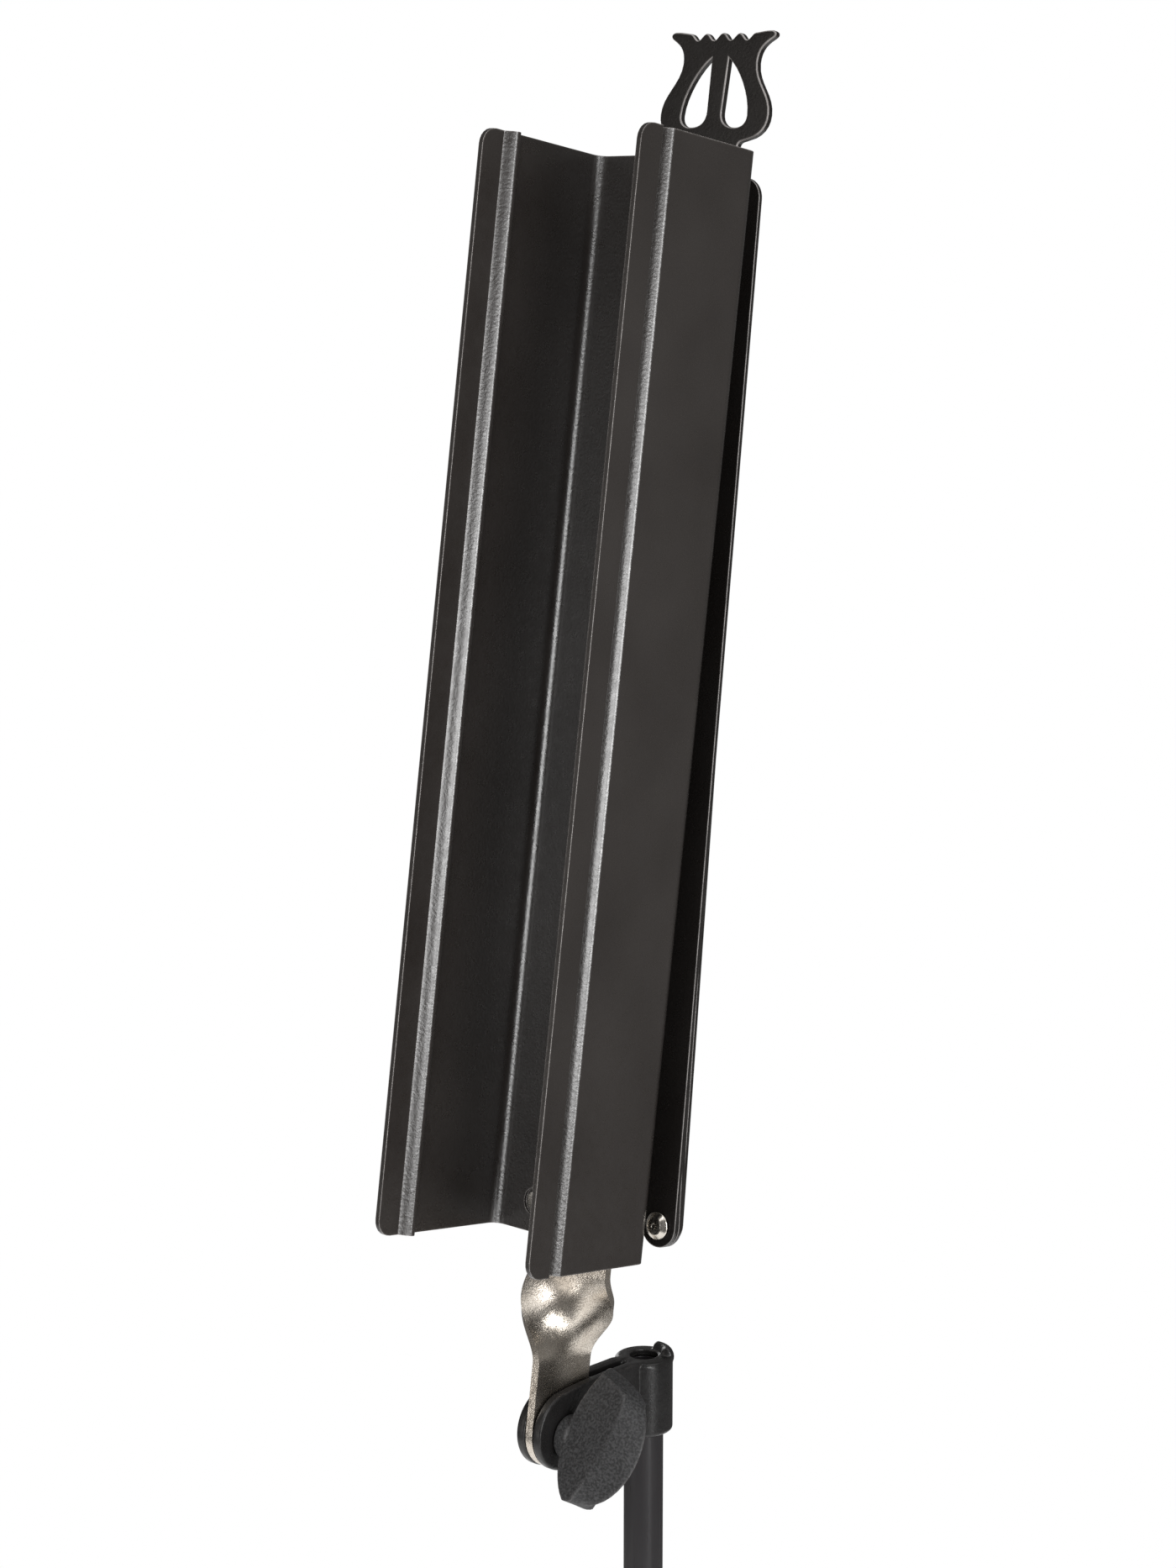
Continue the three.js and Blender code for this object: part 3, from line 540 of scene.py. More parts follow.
def cast_coat():
    """Coated casting of the head, clamps and crown, with softly pitted skin, painted lighter on its edges as
    partly wear and partly painted highlight.
    """
    finish = Finish("cast_coat", (0.024, 0.023, 0.0225), 0.42, specular=0.42)
    pits = finish.noise(1100, 3)
    # Edges painted lighter where the noise allows: partly wear, partly a painted highlight of the light the
    # edges catch.
    wear_and_edge_highlight = finish.times(finish.edges(0.0008, 0.9), finish.levels(finish.noise(700, 4), 0.4, 0.65, 0.1, 1))
    body = finish.mixed(finish.noise(120, 3), (0.012, 0.0115, 0.0115), (0.02, 0.019, 0.019))
    finish.set("Base Color", finish.mixed(wear_and_edge_highlight, body, (0.075, 0.071, 0.07)))
    finish.set("Roughness", finish.levels(finish.noise(300, 4), 0.3, 0.7, 0.24, 0.36))
    finish.bumps((pits, 0.00007), (finish.noise(4200, 1), 0.00002))
    return finish.material


def nickel_plate():
    """Warm bright nickel over blasted steel, with a fine speckled grain."""
    finish = Finish("nickel_plate", (0.69, 0.63, 0.55), 0.27, metallic=1.0)
    speckle = finish.noise(3000, 3)
    cloud = finish.noise(180, 4)
    body = finish.mixed(finish.levels(cloud, 0.3, 0.7, 0, 1), (0.6, 0.54, 0.465), (0.78, 0.72, 0.64))
    dark = finish.levels(speckle, 0.35, 0.5, 0.5, 0)
    finish.set("Base Color", finish.mixed(dark, body, (0.33, 0.29, 0.245)))
    finish.set("Roughness", finish.levels(speckle, 0.3, 0.7, 0.38, 0.17))
    finish.bumps((speckle, 0.00005), (finish.noise(700, 2), 0.00006))
    return finish.material


def bright_nickel():
    """Smoother nickel of the rivets and screws, with turning marks."""
    finish = Finish("bright_nickel", (0.7, 0.66, 0.6), 0.2, metallic=1.0)
    cloud = finish.noise(500, 4)
    finish.set("Base Color", finish.mixed(cloud, (0.5, 0.46, 0.41), (0.82, 0.78, 0.71)))
    finish.set("Roughness", finish.levels(finish.noise(2200, 3), 0.3, 0.7, 0.14, 0.3))
    finish.bumps((finish.noise(1800, 3), 0.00002))
    return finish.material


def grained_plastic():
    """Black moulded plastic with a fine spark-eroded grain, polished along its edges and painted lighter
    there, partly as wear and partly as a painted highlight.
    """
    finish = Finish("grained_plastic", (0.035, 0.035, 0.036), 0.5, specular=0.5)
    grain = finish.noise(1900, 5)
    # Edges painted lighter and smoother: partly wear, partly a painted highlight of the pale rim line the
    # edges catch.
    wear_and_edge_highlight = finish.times(finish.edges(0.0009, 0.9), finish.levels(finish.noise(1300, 3), 0.35, 0.6, 0.3, 1))
    body = finish.mixed(finish.levels(grain, 0.4, 0.64, 0, 1), (0.012, 0.012, 0.0125), (0.054, 0.054, 0.056))
    finish.set("Base Color", finish.mixed(wear_and_edge_highlight, body, (0.14, 0.135, 0.135)))
    finish.set("Roughness", finish.mixed(wear_and_edge_highlight, (0.62, 0.62, 0.62), (0.4, 0.4, 0.4)))
    finish.bumps((grain, 0.00013), (finish.noise(600, 3), 0.00004))
    return finish.material


def rubber():
    """Matt black rubber with a dusty bloom."""
    finish = Finish("rubber", (0.015, 0.015, 0.015), 0.8, specular=0.35)
    dust = finish.levels(finish.noise(240, 5), 0.45, 0.75, 0, 0.6)
    finish.set("Base Color", finish.mixed(dust, (0.012, 0.012, 0.012), (0.045, 0.043, 0.04)))
    finish.set("Roughness", finish.levels(finish.noise(900, 3), 0.3, 0.7, 0.7, 0.9))
    finish.bumps((finish.noise(1600, 4), 0.00012))
    return finish.material


def turned_brass():
    """Machined brass with fine tool marks."""
    finish = Finish("turned_brass", (0.72, 0.52, 0.24), 0.3, metallic=1.0)
    marks = finish.noise(1500, 3, (1, 0.05, 0.05))
    finish.set("Base Color", finish.mixed(finish.noise(300, 3), (0.55, 0.38, 0.16), (0.8, 0.6, 0.3)))
    finish.set("Roughness", finish.levels(marks, 0.3, 0.7, 0.2, 0.4))
    finish.bumps((marks, 0.00002))
    return finish.material


COAT = powder_coat()
ENAMEL = satin_enamel()
CASTING = cast_coat()
NICKEL = nickel_plate()
BRIGHT = bright_nickel()
PLASTIC = grained_plastic()
RUBBER = rubber()
BRASS = turned_brass()


# ---- desk ----

def ledge_line():
    """The folded sheet's middle line from the back plate's free edge to the lip's, for the left ledge."""
    half = LEDGE_SHEET / 2
    back = LEDGE_BACK_V + half
    shelf = -LEDGE_SHELF_X - half
    bend = LEDGE_BEND_R + half
    free = shelf + half + LEDGE_BACK_WIDTH
    front = LEDGE_BACK_V - LEDGE_SHELF_DEPTH
    corner = [math.radians(90 * i / 6) for i in range(7)]
    line = [(free - LEDGE_CORNER_R * (1 - math.cos(a)), back) for a in corner]
    line += arc(shelf + bend, back - bend, bend, 90, 180, 10)
    line.append((shelf, (back - bend + front) / 2))
    steps = 22
    for i in range(steps + 1):
        rise = LEDGE_BEAD_HEIGHT / 2 * (1 - math.cos(math.tau * i / steps))
        line.append((shelf + rise, front - LEDGE_BEAD_WIDTH * i / steps))
    foot = front - LEDGE_BEAD_WIDTH
    for a in corner:
        line.append((shelf, foot - LEDGE_LIP + LEDGE_CORNER_R * (1 - math.sin(a))))
    return line


def corner_inset(distance):
    """How far a rounded corner draws in the end, at this distance from the free edge."""
    short = LEDGE_CORNER_R - min(distance, LEDGE_CORNER_R)
    return LEDGE_CORNER_R - math.sqrt(LEDGE_CORNER_R**2 - short**2)


def ledge(side):
    """One folded ledge: -1 is the left one and 1 the right one."""
    line = ledge_line()
    rows = 14
    vertices = []
    for x, v in line:
        from_edges = [abs(x - end[0]) + abs(v - end[1]) for end in (line[0], line[-1])]
        inset = corner_inset(min(from_edges))
        length = LEDGE_LENGTH - 2 * inset
        for k in range(rows + 1):
            vertices.append((-side * x, v, LEDGE_START + inset + length * k / rows))
    faces = []
    for i in range(len(line) - 1):
        for k in range(rows):
            a = i * (rows + 1) + k
            faces.append((a, a + 1, a + rows + 2, a + rows + 1))
    sheet = mesh_object("ledge", vertices, faces)
    solid = sheet.modifiers.new("sheet", "SOLIDIFY")
    solid.thickness = LEDGE_SHEET
    solid.offset = 0
    solid.use_even_offset = True
    sheet = with_mesh(sheet)
    sink = [(0, LEDGE_BACK_V - 4), (3.25, LEDGE_BACK_V - 4), (3.25, LEDGE_BACK_V + 0.7)]
    sink += [(LEDGE_RIVET_R + GAP, LEDGE_BACK_V + 0.75), (LEDGE_RIVET_R + GAP, 4), (0, 4)]
    cutter = moved(along_y(lathe("tool", sink, 40)), side * LEDGE_PIVOT.x, 0, LEDGE_PIVOT.z)
    sheet = rimmed(combine(sheet, "DIFFERENCE", [cutter]), 0.22)
    node = "ledge_left" if side < 0 else "ledge_right"
    show(sheet, node, COAT, DESK)


def smoothstep(t):
    t = min(max(t, 0), 1)
    return t * t * (3 - 2 * t)


def strap_half(w):
    """Half the strap's width at height w: narrow at the lug and wide where the ledges turn."""
    flare = 3.4 * (smoothstep((w - 42.5) / 3.5) - smoothstep((w - 56) / 4.5))
    return LUG_HALF + (STRAP_HALF - LUG_HALF) * smoothstep((w - 18) / 16) + flare


def tilt_bracket():
    """The strap that tilts: a round lug, a quarter twist and a flat head with flared shoulders."""
    low, high = TWIST
    columns = 24
    levels = [i / 8 for i in range(8)]
    heights = [low + (high - low) * i / 26 for i in range(27)]
    heights += [high + (STRAP_TOP - high) * i / 40 for i in range(1, 41)]
    vertices = []
    for i in range(columns + 1):
        across = -math.cos(math.pi * i / columns)
        bottom = LUG_CENTRE - math.sqrt(max(0, 1 - across * across)) * LUG_HALF
        column = [bottom + (low - bottom) * t for t in levels] + heights
        for w in column:
            turn = math.pi / 2 * (1 - smoothstep((w - low) / (high - low)))
            a = across * strap_half(w)
            bulge = 0.9 * math.sin(math.pi * min(max((w - low) / (high - low), 0), 1)) ** 2
            lift = -bulge * (1 - across * across)
            x = a * math.cos(turn) - lift * math.sin(turn)
            v = a * math.sin(turn) + lift * math.cos(turn)
            vertices.append((x, v, w))
    rows = len(levels) + len(heights)
    faces = []
    for i in range(columns):
        for k in range(rows - 1):
            a = i * rows + k
            faces.append((a, a + rows, a + rows + 1, a + 1))
    strap = mesh_object("strap", vertices, faces)
    solid = strap.modifiers.new("sheet", "SOLIDIFY")
    solid.thickness = STRAP_THICK
    solid.offset = 0
    strap = with_mesh(strap)
    tools = [along_x(rod_tool(SCREW_R + GAP, -6, 6))]
    for side in (-1, 1):
        tool = along_y(rod_tool(LEDGE_RIVET_R + GAP, -6, 6))
        tools.append(moved(tool, side * LEDGE_PIVOT.x, 0, LEDGE_PIVOT.z))
    tools += [moved(along_y(rod_tool(STRAP_RIVET_R + GAP, -6, 6)), 0, 0, w) for w in STRAP_RIVETS]
    strap = rimmed(combine(strap, "DIFFERENCE", tools), 0.28, angle=50)
    show(strap, "tilt_bracket", NICKEL, DESK)


def lyre_half():
    """Right half of the lyre bar's outline, from its foot up to the middle of the comb."""
    return traced((LYRE_HALF, 12), [
        ((LYRE_HALF, 244.2),),
        ((8.3, 245.2), (9.2, 245), (10.6, 245.5)),
        ((14.6, 246.3), (16.4, 249), (15.6, 252.6)),
        ((14.8, 256.2), (10.9, 258.6), (10.8, 262.6)),
        ((10.8, 265.4), (12, 266.6), (14.4, 267.9)),
        ((15.6, 268.5), (15.3, 269.5), (14.1, 269.7)),
        ((12.2, 269.8), (10.6, 269.4), (9.3, 269.3)),
        ((8.4, 269.2), (7.8, 267.8), (7.1, 267.8)),
        ((6.3, 267.8), (5.9, 269.3), (4.8, 269.3)),
        ((3.7, 269.3), (3.3, 267.8), (2.4, 267.8)),
        ((1.5, 267.8), (1.2, 269.4), (0, 269.4)),
    ], 7)


def lyre_opening():
    """The opening in the right half of the lyre's head."""
    return traced((2.5, 263.6), [
        ((5.6, 261.6), (9.5, 255.4), (9.5, 250.9)),
        ((9.5, 249.2), (8.2, 248.2), (6.4, 248.2)),
        ((3.8, 248.2), (2.3, 249.4), (2.2, 251.6)),
    ], 8)


def mirrored(points):
    return [(-x, y) for x, y in points]


def lyre_bar():
    """Centre bar with a generic lyre head, leaning a little to the right."""
    right = lyre_half()
    left = mirrored(reversed(right[:-1]))
    half = LYRE_HALF
    foot = filleted([(-half, 12, 0), (-half, -8, 2), (half, -8, 2), (half, 12, 0)], False)
    outline = foot[1:-1] + right + left
    holes = [mirrored(lyre_opening()), lyre_opening()]
    sine, cosine = math.sin(LYRE_LEAN), math.cos(LYRE_LEAN)
    for w in STRAP_RIVETS:
        holes.append(circle(-(w - LYRE_BASE) * sine, (w - LYRE_BASE) * cosine, STRAP_RIVET_R + GAP))
    pivot_up = (ARM_PIVOT.z - LYRE_BASE) / cosine
    holes.append(circle(0, pivot_up, ARM_RIVET_R + GAP))
    bar = faces_front(plate("lyre", outline, LYRE_THICK, 0.5, holes, 3), LYRE_FRONT)
    transformed(bar, Matrix.Translation((0, 0, LYRE_BASE)) @ Matrix.Rotation(LYRE_LEAN, 4, "Y"))
    show(bar, "lyre_bar", COAT, DESK)


def bar_front(layer):
    return BAR_FRONT + layer * BAR_PITCH


def folding_bar(node, start, end, layer, holes):
    """A flat bar with round ends between two (x, w) points."""
    angle = math.degrees(math.atan2(end[1] - start[1], end[0] - start[0]))
    outline = arc(*end, BAR_HALF, angle - 90, angle + 90, 18)
    outline += arc(*start, BAR_HALF, angle + 90, angle + 270, 18)
    drilled = [circle(x, w, r) for x, w, r in holes]
    bar = faces_front(plate(node, outline, BAR_THICK, 0.32, drilled), bar_front(layer))
    show(bar, node, COAT, DESK)


def folding_bars():
    """Front to back: right side bar, right arm, left arm, left side bar."""
    pivot = (ARM_PIVOT.x, ARM_PIVOT.z)
    for hand, side_layer, arm_layer in (("right", 0, 1), ("left", 3, 2)):
        end = (ARM_END[hand].x, ARM_END[hand].z)
        low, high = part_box("side_bar_" + hand)
        top = DESK.inverted() @ Vector((low.x, high.y, high.z))
        free = (top.x + BAR_HALF, top.z - BAR_HALF)
        end_hole = (*end, SIDE_RIVET_R + GAP)
        pivot_hole = (*pivot, ARM_RIVET_R + GAP)
        folding_bar("side_bar_" + hand, end, free, side_layer, [end_hole])
        folding_bar("arm_" + hand, end, pivot, arm_layer, [end_hole, pivot_hole])


def rivet(node, profile, x, w, flip=False):
    """A rivet through the desk from a (radius, v) profile."""
    turned = lathe(node, profile, 48)
    if flip:
        transformed(turned, Matrix.Scale(-1, 4, (0, 0, 1)))
        turned = with_mesh(turned)
    show(moved(along_y(turned), x, 0, w), node, BRIGHT, DESK)


def dome(base, radius, height, shank, end):
    """Profile of a dome head that faces -v, with a small set mark in its middle."""
    corners = [(0, base - height + 0.22, 0), (0.45, base - height + 0.2, 0.2), (0.75, base - height, 0.3)]
    corners += [(radius * 0.62, base - height * 0.82, 0.9), (radius * 0.97, base - height * 0.2, 0.5)]
    corners += [(radius, base, 0.1), (shank, base, 0), (shank, end, 0), (0, end, 0)]
    return filleted(corners, False, 6)


def rivets():
    """The desk's rivets: flush heads in the ledges and domes elsewhere."""
    for hand, side in (("left", -1), ("right", 1)):
        front, shank = LEDGE_BACK_V + 0.1, LEDGE_RIVET_R
        corners = [(0, front, 0), (2.95, front, 0.15), (shank, LEDGE_BACK_V + 0.6, 0)]
        corners += [(shank, 1.3, 0), (2.8, 1.3, 0.1), (2.8, 2.1, 0.3), (0, 2.1, 0)]
        rivet("ledge_rivet_" + hand, filleted(corners, False), side * LEDGE_PIVOT.x, LEDGE_PIVOT.z)
    for name, w in zip(("lower", "upper"), STRAP_RIVETS):
        rivet("bracket_rivet_" + name, dome(-1.3, 2.7, 1.2, 1.4, LYRE_FRONT + LYRE_THICK - 0.1), 0, w)
    arm_dome = dome(LYRE_FRONT - GAP, 3.8, 1, ARM_RIVET_R, bar_front(2) + BAR_THICK)
    rivet("arm_rivet", arm_dome, ARM_PIVOT.x, ARM_PIVOT.z)
    right, left = ARM_END["right"], ARM_END["left"]
    right_dome = dome(bar_front(0) - GAP, 3.2, 1.4, SIDE_RIVET_R, bar_front(1) + BAR_THICK)
    rivet("side_rivet_right", right_dome, right.x, right.z)
    left_dome = dome(-(bar_front(3) + BAR_THICK + GAP), 3.2, 1.4, SIDE_RIVET_R, -bar_front(2))
    rivet("side_rivet_left", left_dome, left.x, left.z, True)


# ---- tilt head ----

def ear(side):
    """One cheek: a disc round the screw that runs on, nearly level, into the socket."""
    rise = SOCKET_TOP + 0.6
    sweep = [((7, rise + 0.4), (15, rise + 0.2), (REACH - 8, rise)), ((REACH - 2, SOCKET_TOP - 0.3),)]
    sweep.append(((REACH - 2, SOCKET_BOTTOM + 0.2),))
    outline = arc(0, EAR_CENTRE, EAR_R, 90, 270, 36)[::-1]
    outline += traced(outline[-1], sweep, 12)[1:]
    body = plate("ear", outline, EAR_THICK, 0.55, (), 3)
    return faces_side(body, side * (EAR_INNER + EAR_THICK / 2))


def hood():
    """A curled lobe on the socket's top rim, on its right rear side."""
    centre_r, radius, tall = 5.6, 1.7, 1.3
    start, end, steps, ring = 28, 105, 20, 20
    vertices = []
    for i in range(steps + 1):
        a = math.radians(start + (end - start) * i / steps)
        near_end = max(0, (abs(2 * i / steps - 1) - 0.7) / 0.3)
        r = radius * math.sqrt(max(0.02, 1 - near_end ** 2))
        for k in range(ring):
            b = math.tau * k / ring
            out = centre_r + r * math.cos(b)
            vertices.append((out * math.cos(a), out * math.sin(a), SOCKET_TOP - 0.6 + r * tall * math.sin(b)))
    return moved(with_mesh(mesh_object("hood", vertices, loft_faces(steps + 1, ring))), 0, REACH, 0)


def tilt_head():
    """The casting on the rod: a socket with two ears and a hood."""
    profile = [(0, SOCKET_BOTTOM, 0), (SOCKET_R, SOCKET_BOTTOM, 0.8), (SOCKET_R, SOCKET_TOP - 0.2, 1.1)]
    profile += [(4.3, SOCKET_TOP, 0.5), (0, SOCKET_TOP, 0)]
    socket = moved(lathe("socket", filleted(profile, False), 72), 0, REACH, 0)
    head = combine(socket, "UNION", [ear(-1), ear(1), hood()])
    groove = filleted([(4, 13, 0), (4, 5, 2), (REACH - 7.2, 5.4, 2), (REACH - 7.2, 13, 0)])
    slot = faces_side(plate("tool", groove, 2 * EAR_INNER, 0.05), 0)
    bore = moved(rod_tool(ROD_R + GAP, SOCKET_BOTTOM - 2, SOCKET_TOP - 1.5, 64), 0, REACH, 0)
    mouth = moved(rod_tool(3.4, 0, SOCKET_TOP + 6, 48), 0, REACH, 0)
    screw_hole = along_x(rod_tool(SCREW_R + GAP, -9, 9))
    head = combine(head, "DIFFERENCE", [slot, bore, mouth, screw_hole])
    head = cast(head, 0.2, 5)
    show(head, "tilt_head", CASTING, HEAD, crisp=False)


def tilt_screw():
    """A screw along X with a round head on the left and a hexagon recess in it."""
    left = -EAR_INNER - EAR_THICK - GAP
    corners = [(0, left - 3.2, 0), (2.6, left - 3.2, 0.6), (4.5, left - 2.1, 0.9), (4.6, left, 0.15)]
    corners += [(SCREW_R, left, 0), (SCREW_R, 16, 0.4), (0, 16, 0)]
    screw = along_x(lathe("screw", filleted(corners, False), 56))
    recess = [along_x(lathe("tool", [(0, -12), (1.9, -12), (1.5, left - 1.6), (0, left - 1.6)], 6))]
    screw = rimmed(combine(screw, "DIFFERENCE", recess), 0.1, 2)
    show(screw, "tilt_screw", BRIGHT, HEAD)


def paddle():
    """The knob's leaning paddle: a pillow between two flat faces, from outlines in (x, t)."""
    face = traced((10.9, 15.4), [
        ((5, 6), (5, -8), (12, -14.3)),
        ((13, -14.3), (13.9, -14.2), (14.6, -13.7)),
        ((17.6, -4), (20.8, 5), (19.2, 12.4)),
        ((16.5, 13.7), (13.8, 14.9), (10.9, 15.4)),
    ], 16)
    middle = traced((9.3, 17.8), [
        ((3.2, 7), (3.6, -8), (11.6, -14.2)),
        ((12.6, -14.3), (13.6, -14.2), (14.6, -13.7)),
        ((26.5, -12.6), (30, 7), (19.4, 14.4)),
        ((16, 16), (12.7, 17.3), (9.3, 17.8)),
    ], 16)
    rings = 13
    vertices = []
    for i in range(rings):
        n = 2 * i / (rings - 1) - 1
        blend = abs(n) ** 1.25
        for (x0, t0), (x1, t1) in zip(middle[1:], face[1:]):
            vertices.append((x0 + (x1 - x0) * blend, t0 + (t1 - t0) * blend, n * PADDLE_HALF))
    wing = with_mesh(mesh_object("wing", vertices, loft_faces(rings, len(face) - 1)))
    return transformed(wing, Matrix.Rotation(math.pi / 2 - PADDLE_TURN, 4, "X"))


def tilt_knob():
    """The paddle on a round hub, bored for its brass insert."""
    start = EAR_INNER + EAR_THICK + GAP
    hub_profile = filleted([(0, start, 0), (HUB_R, start, 0.6), (HUB_R - 0.3, 7.2, 0), (0, 7.2, 0)], False)
    knob = combine(paddle(), "UNION", [along_x(lathe("hub", hub_profile, 64))])
    knob = combine(knob, "DIFFERENCE", [along_x(rod_tool(3.6 + GAP, start - 1, 16.6))])
    knob = cast(knob, 0.2, 3)
    show(knob, "tilt_knob", PLASTIC, HEAD, crisp=False)


# ---- tubes and clamps ----

def tube(node, radius, wall):
    """A tube with rounded ends where its CAD node is."""
    low, high = (corner.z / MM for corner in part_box(node))
    inner = radius - wall
    corners = [(inner, low, 0.2), (radius, low, 0.3), (radius, high, 0.3), (inner, high, 0.2)]
    body = lathe(node, filleted(corners), 96, closed=True)
    show(body, node, ENAMEL, TUBE)


def clamp(node, inner, outer, tube_top):
    """A collar on a tube's end with a screw boss at the back."""
    body_r = outer + 3.6
    bottom, top = tube_top - 24, tube_top + 9
    screw_z = JOINTS[node + "_turn"]["pos_m"][2] / MM
    waist = body_r - 0.7
    corners = [(0, bottom, 0), (body_r - 0.4, bottom, 0.8), (body_r, bottom + 4, 1), (waist, bottom + 5, 0.5)]
    corners += [(waist, top - 9, 0.5), (body_r, top - 8, 0.5), (body_r, top - 6, 2)]
    corners += [(inner + 3.2, top, 1), (0, top, 0)]
    body = lathe("collar", filleted(corners, False), 72)
    boss = filleted([(0, 1, 0), (5.6, 1, 0), (5.3, body_r + 7, 0.7), (0, body_r + 7, 0)], False)
    body = combine(body, "UNION", [moved(along_y(lathe("boss", boss, 48)), 0, 0, screw_z)])
    seat = rod_tool(outer + GAP, bottom - 2, tube_top + GAP, 64)
    throat = rod_tool(inner + GAP, bottom, top + 2, 64)
    screw_hole = moved(along_y(rod_tool(3 + GAP, 0.1, 40)), 0, 0, screw_z)
    body = cast(combine(body, "DIFFERENCE", [seat, throat, screw_hole]), 0.35, 4)
    show(body, node, CASTING, TUBE, crisp=False)


def clamp_knob(node):
    """A five-lobed knob with a dished face."""
    low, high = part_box(node)
    axis = Vector(JOINTS[node.replace("_knob", "_turn")]["pos_m"])
    near, far = (low.y - AXIS.y) / MM, (high.y - AXIS.y) / MM
    lobe_r = 13
    rings = [(0, near, 0), (7, near, 0), (7, near + 3, 0), (8.4, near + 4, 0.6), (0.9, near + 4.6, 1)]
    rings += [(1, near + 5.8, 1), (1, far - 1.8, 1), (0.955, far - 0.5, 1), (0.86, far, 1)]
    rings += [(0.6, far - 0.5, 0.8), (0.3, far - 0.9, 0.2), (0, far - 1, 0)]
    segments = 120
    vertices = []
    loops = []
    for radius, y, lobed in rings:
        loop = []
        for i in range(segments):
            a = math.tau * i / segments
            outline = lobe_r - 2 + 2 * math.cos(5 * a)
            r = radius if y < near + 4.2 else radius * (outline * lobed + 9 * (1 - lobed))
            loop.append(len(vertices))
            vertices.append((r * math.cos(a), y, r * math.sin(a)))
        loops.append(loop)
    faces = []
    for a, b in zip(loops, loops[1:]):
        for i in range(segments):
            k = (i + 1) % segments
            faces.append((a[i], a[k], b[k], b[i]))
    knob = with_mesh(mesh_object(node, vertices, faces))
    knob = combine(knob, "DIFFERENCE", [along_y(rod_tool(2.9 + GAP, near - 1, far - 2.7))])
    knob = cast(knob, 0.3, 5)
    show(moved(knob, 0, 0, axis.z / MM), node, PLASTIC, TUBE, crisp=False)


# ---- tripod ----

def leg_matrix(azimuth):
    """From a leg drawn along +X from its pivot to its place in the frame."""
    joint = JOINTS[f"leg_fold_{LEG_AZIMUTHS.index(azimuth) + 1}"]
    turn = Matrix.Rotation(math.radians(azimuth), 4, "Z") @ Matrix.Rotation(math.pi / 2 - LEG_OPEN, 4, "Y")
    return Matrix.Translation(joint["pos_m"]) @ turn @ TO_METRES


def leg_reach(azimuth, node):
    """How far a CAD node reaches along its leg, in millimetres from the pivot."""
    inverse = leg_matrix(azimuth).inverted()
    return max((inverse @ v.co).x for v in frame["nodes"][node].data.vertices)


def leg(number, azimuth):
    """A rolled channel with its open side down and a round end at the pivot."""
    length = leg_reach(azimuth, f"leg_{number}")
    w, h = LEG_WIDTH / 2 - LEG_WALL / 2, LEG_HEIGHT / 2 - LEG_WALL / 2
    open_side = -LEG_HEIGHT / 2
    section = filleted([(-w, open_side, 0), (-w, h, 1.6), (w, h, 1.6), (w, open_side, 0)], False, 6)
    steps = 12
    stations = [length * i / steps for i in range(steps + 1)]
    vertices = []
    for y, z in section:
        start = -7 + (6 - math.sqrt(max(0, 36 - min(abs(z), 6) ** 2))) * (0.75 if z < 0 else 0.35)
        vertices += [(start if i == 0 else x, y, z) for i, x in enumerate(stations)]
    faces = []
    for i in range(len(section) - 1):
        for k in range(steps):
            a = i * (steps + 1) + k
            faces.append((a, a + 1, a + steps + 2, a + steps + 1))
    channel = mesh_object("leg", vertices, faces)
    solid = channel.modifiers.new("sheet", "SOLIDIFY")
    solid.thickness = LEG_WALL
    solid.offset = 0
    solid.use_even_offset = True
    channel = combine(with_mesh(channel), "DIFFERENCE", [along_y(rod_tool(LEG_RIVET_R + GAP, -20, 20))])
    show(rimmed(channel, 0.25), f"leg_{number}", COAT, leg_matrix(azimuth))


def foot(number, azimuth):
    """A rubber boot with grip rings, flat where it stands on the floor."""
    end = leg_reach(azimuth, f"leg_{number}") + 5
    w, h = LEG_WIDTH / 2 + 2.6, LEG_HEIGHT / 2 + 2.6
    nose = ((end + 2, (-h - 4) / 3), (end + 2 / 3, h / 3), (end - 4, h))
    side_view = [((end, -h - 4),), nose, ((end - 34, h),)]
    body = plate("boot", traced((end - 34, -h + 1), side_view, 12), 2 * w, 1.4, (), 4)
    body = transformed(body, Matrix.Rotation(math.pi / 2, 4, "X"))
    grips = []
    for i in range(4):
        x = end - 30 + i * 4.4
        ring = combine(
            block_tool((x, x + 1.4), (-w - 3, w + 3), (-h - 3, h + 3)),
            "DIFFERENCE",
            [block_tool((x - 2, x + 4), (-w + 0.7, w - 0.7), (-h + 1.7, h - 0.7))],
        )
        grips.append(ring)
    clear = LEG_HEIGHT / 2 + GAP
    side = LEG_WIDTH / 2 + GAP
    socket = block_tool((end - 44, end - 5 + GAP), (-side, side), (-clear, clear))
    body = combine(body, "DIFFERENCE", [*grips, socket])
    body = cast(body, 0.4, 3)
    place = leg_matrix(azimuth)
    transformed(body, place)
    work = bmesh.new()
    work.from_mesh(body.data)
    cut = bmesh.ops.bisect_plane(
        work, geom=work.verts[:] + work.edges[:] + work.faces[:],
        plane_co=(0, 0, 0), plane_no=(0, 0, -1), clear_outer=True,
    )
    rim = [edge for edge in cut["geom_cut"] if isinstance(edge, bmesh.types.BMEdge)]
    bmesh.ops.contextual_create(work, geom=rim)
    work.to_mesh(body.data)
    work.free()
    show(body, f"foot_{number}", RUBBER, Matrix.Identity(4), crisp=False)


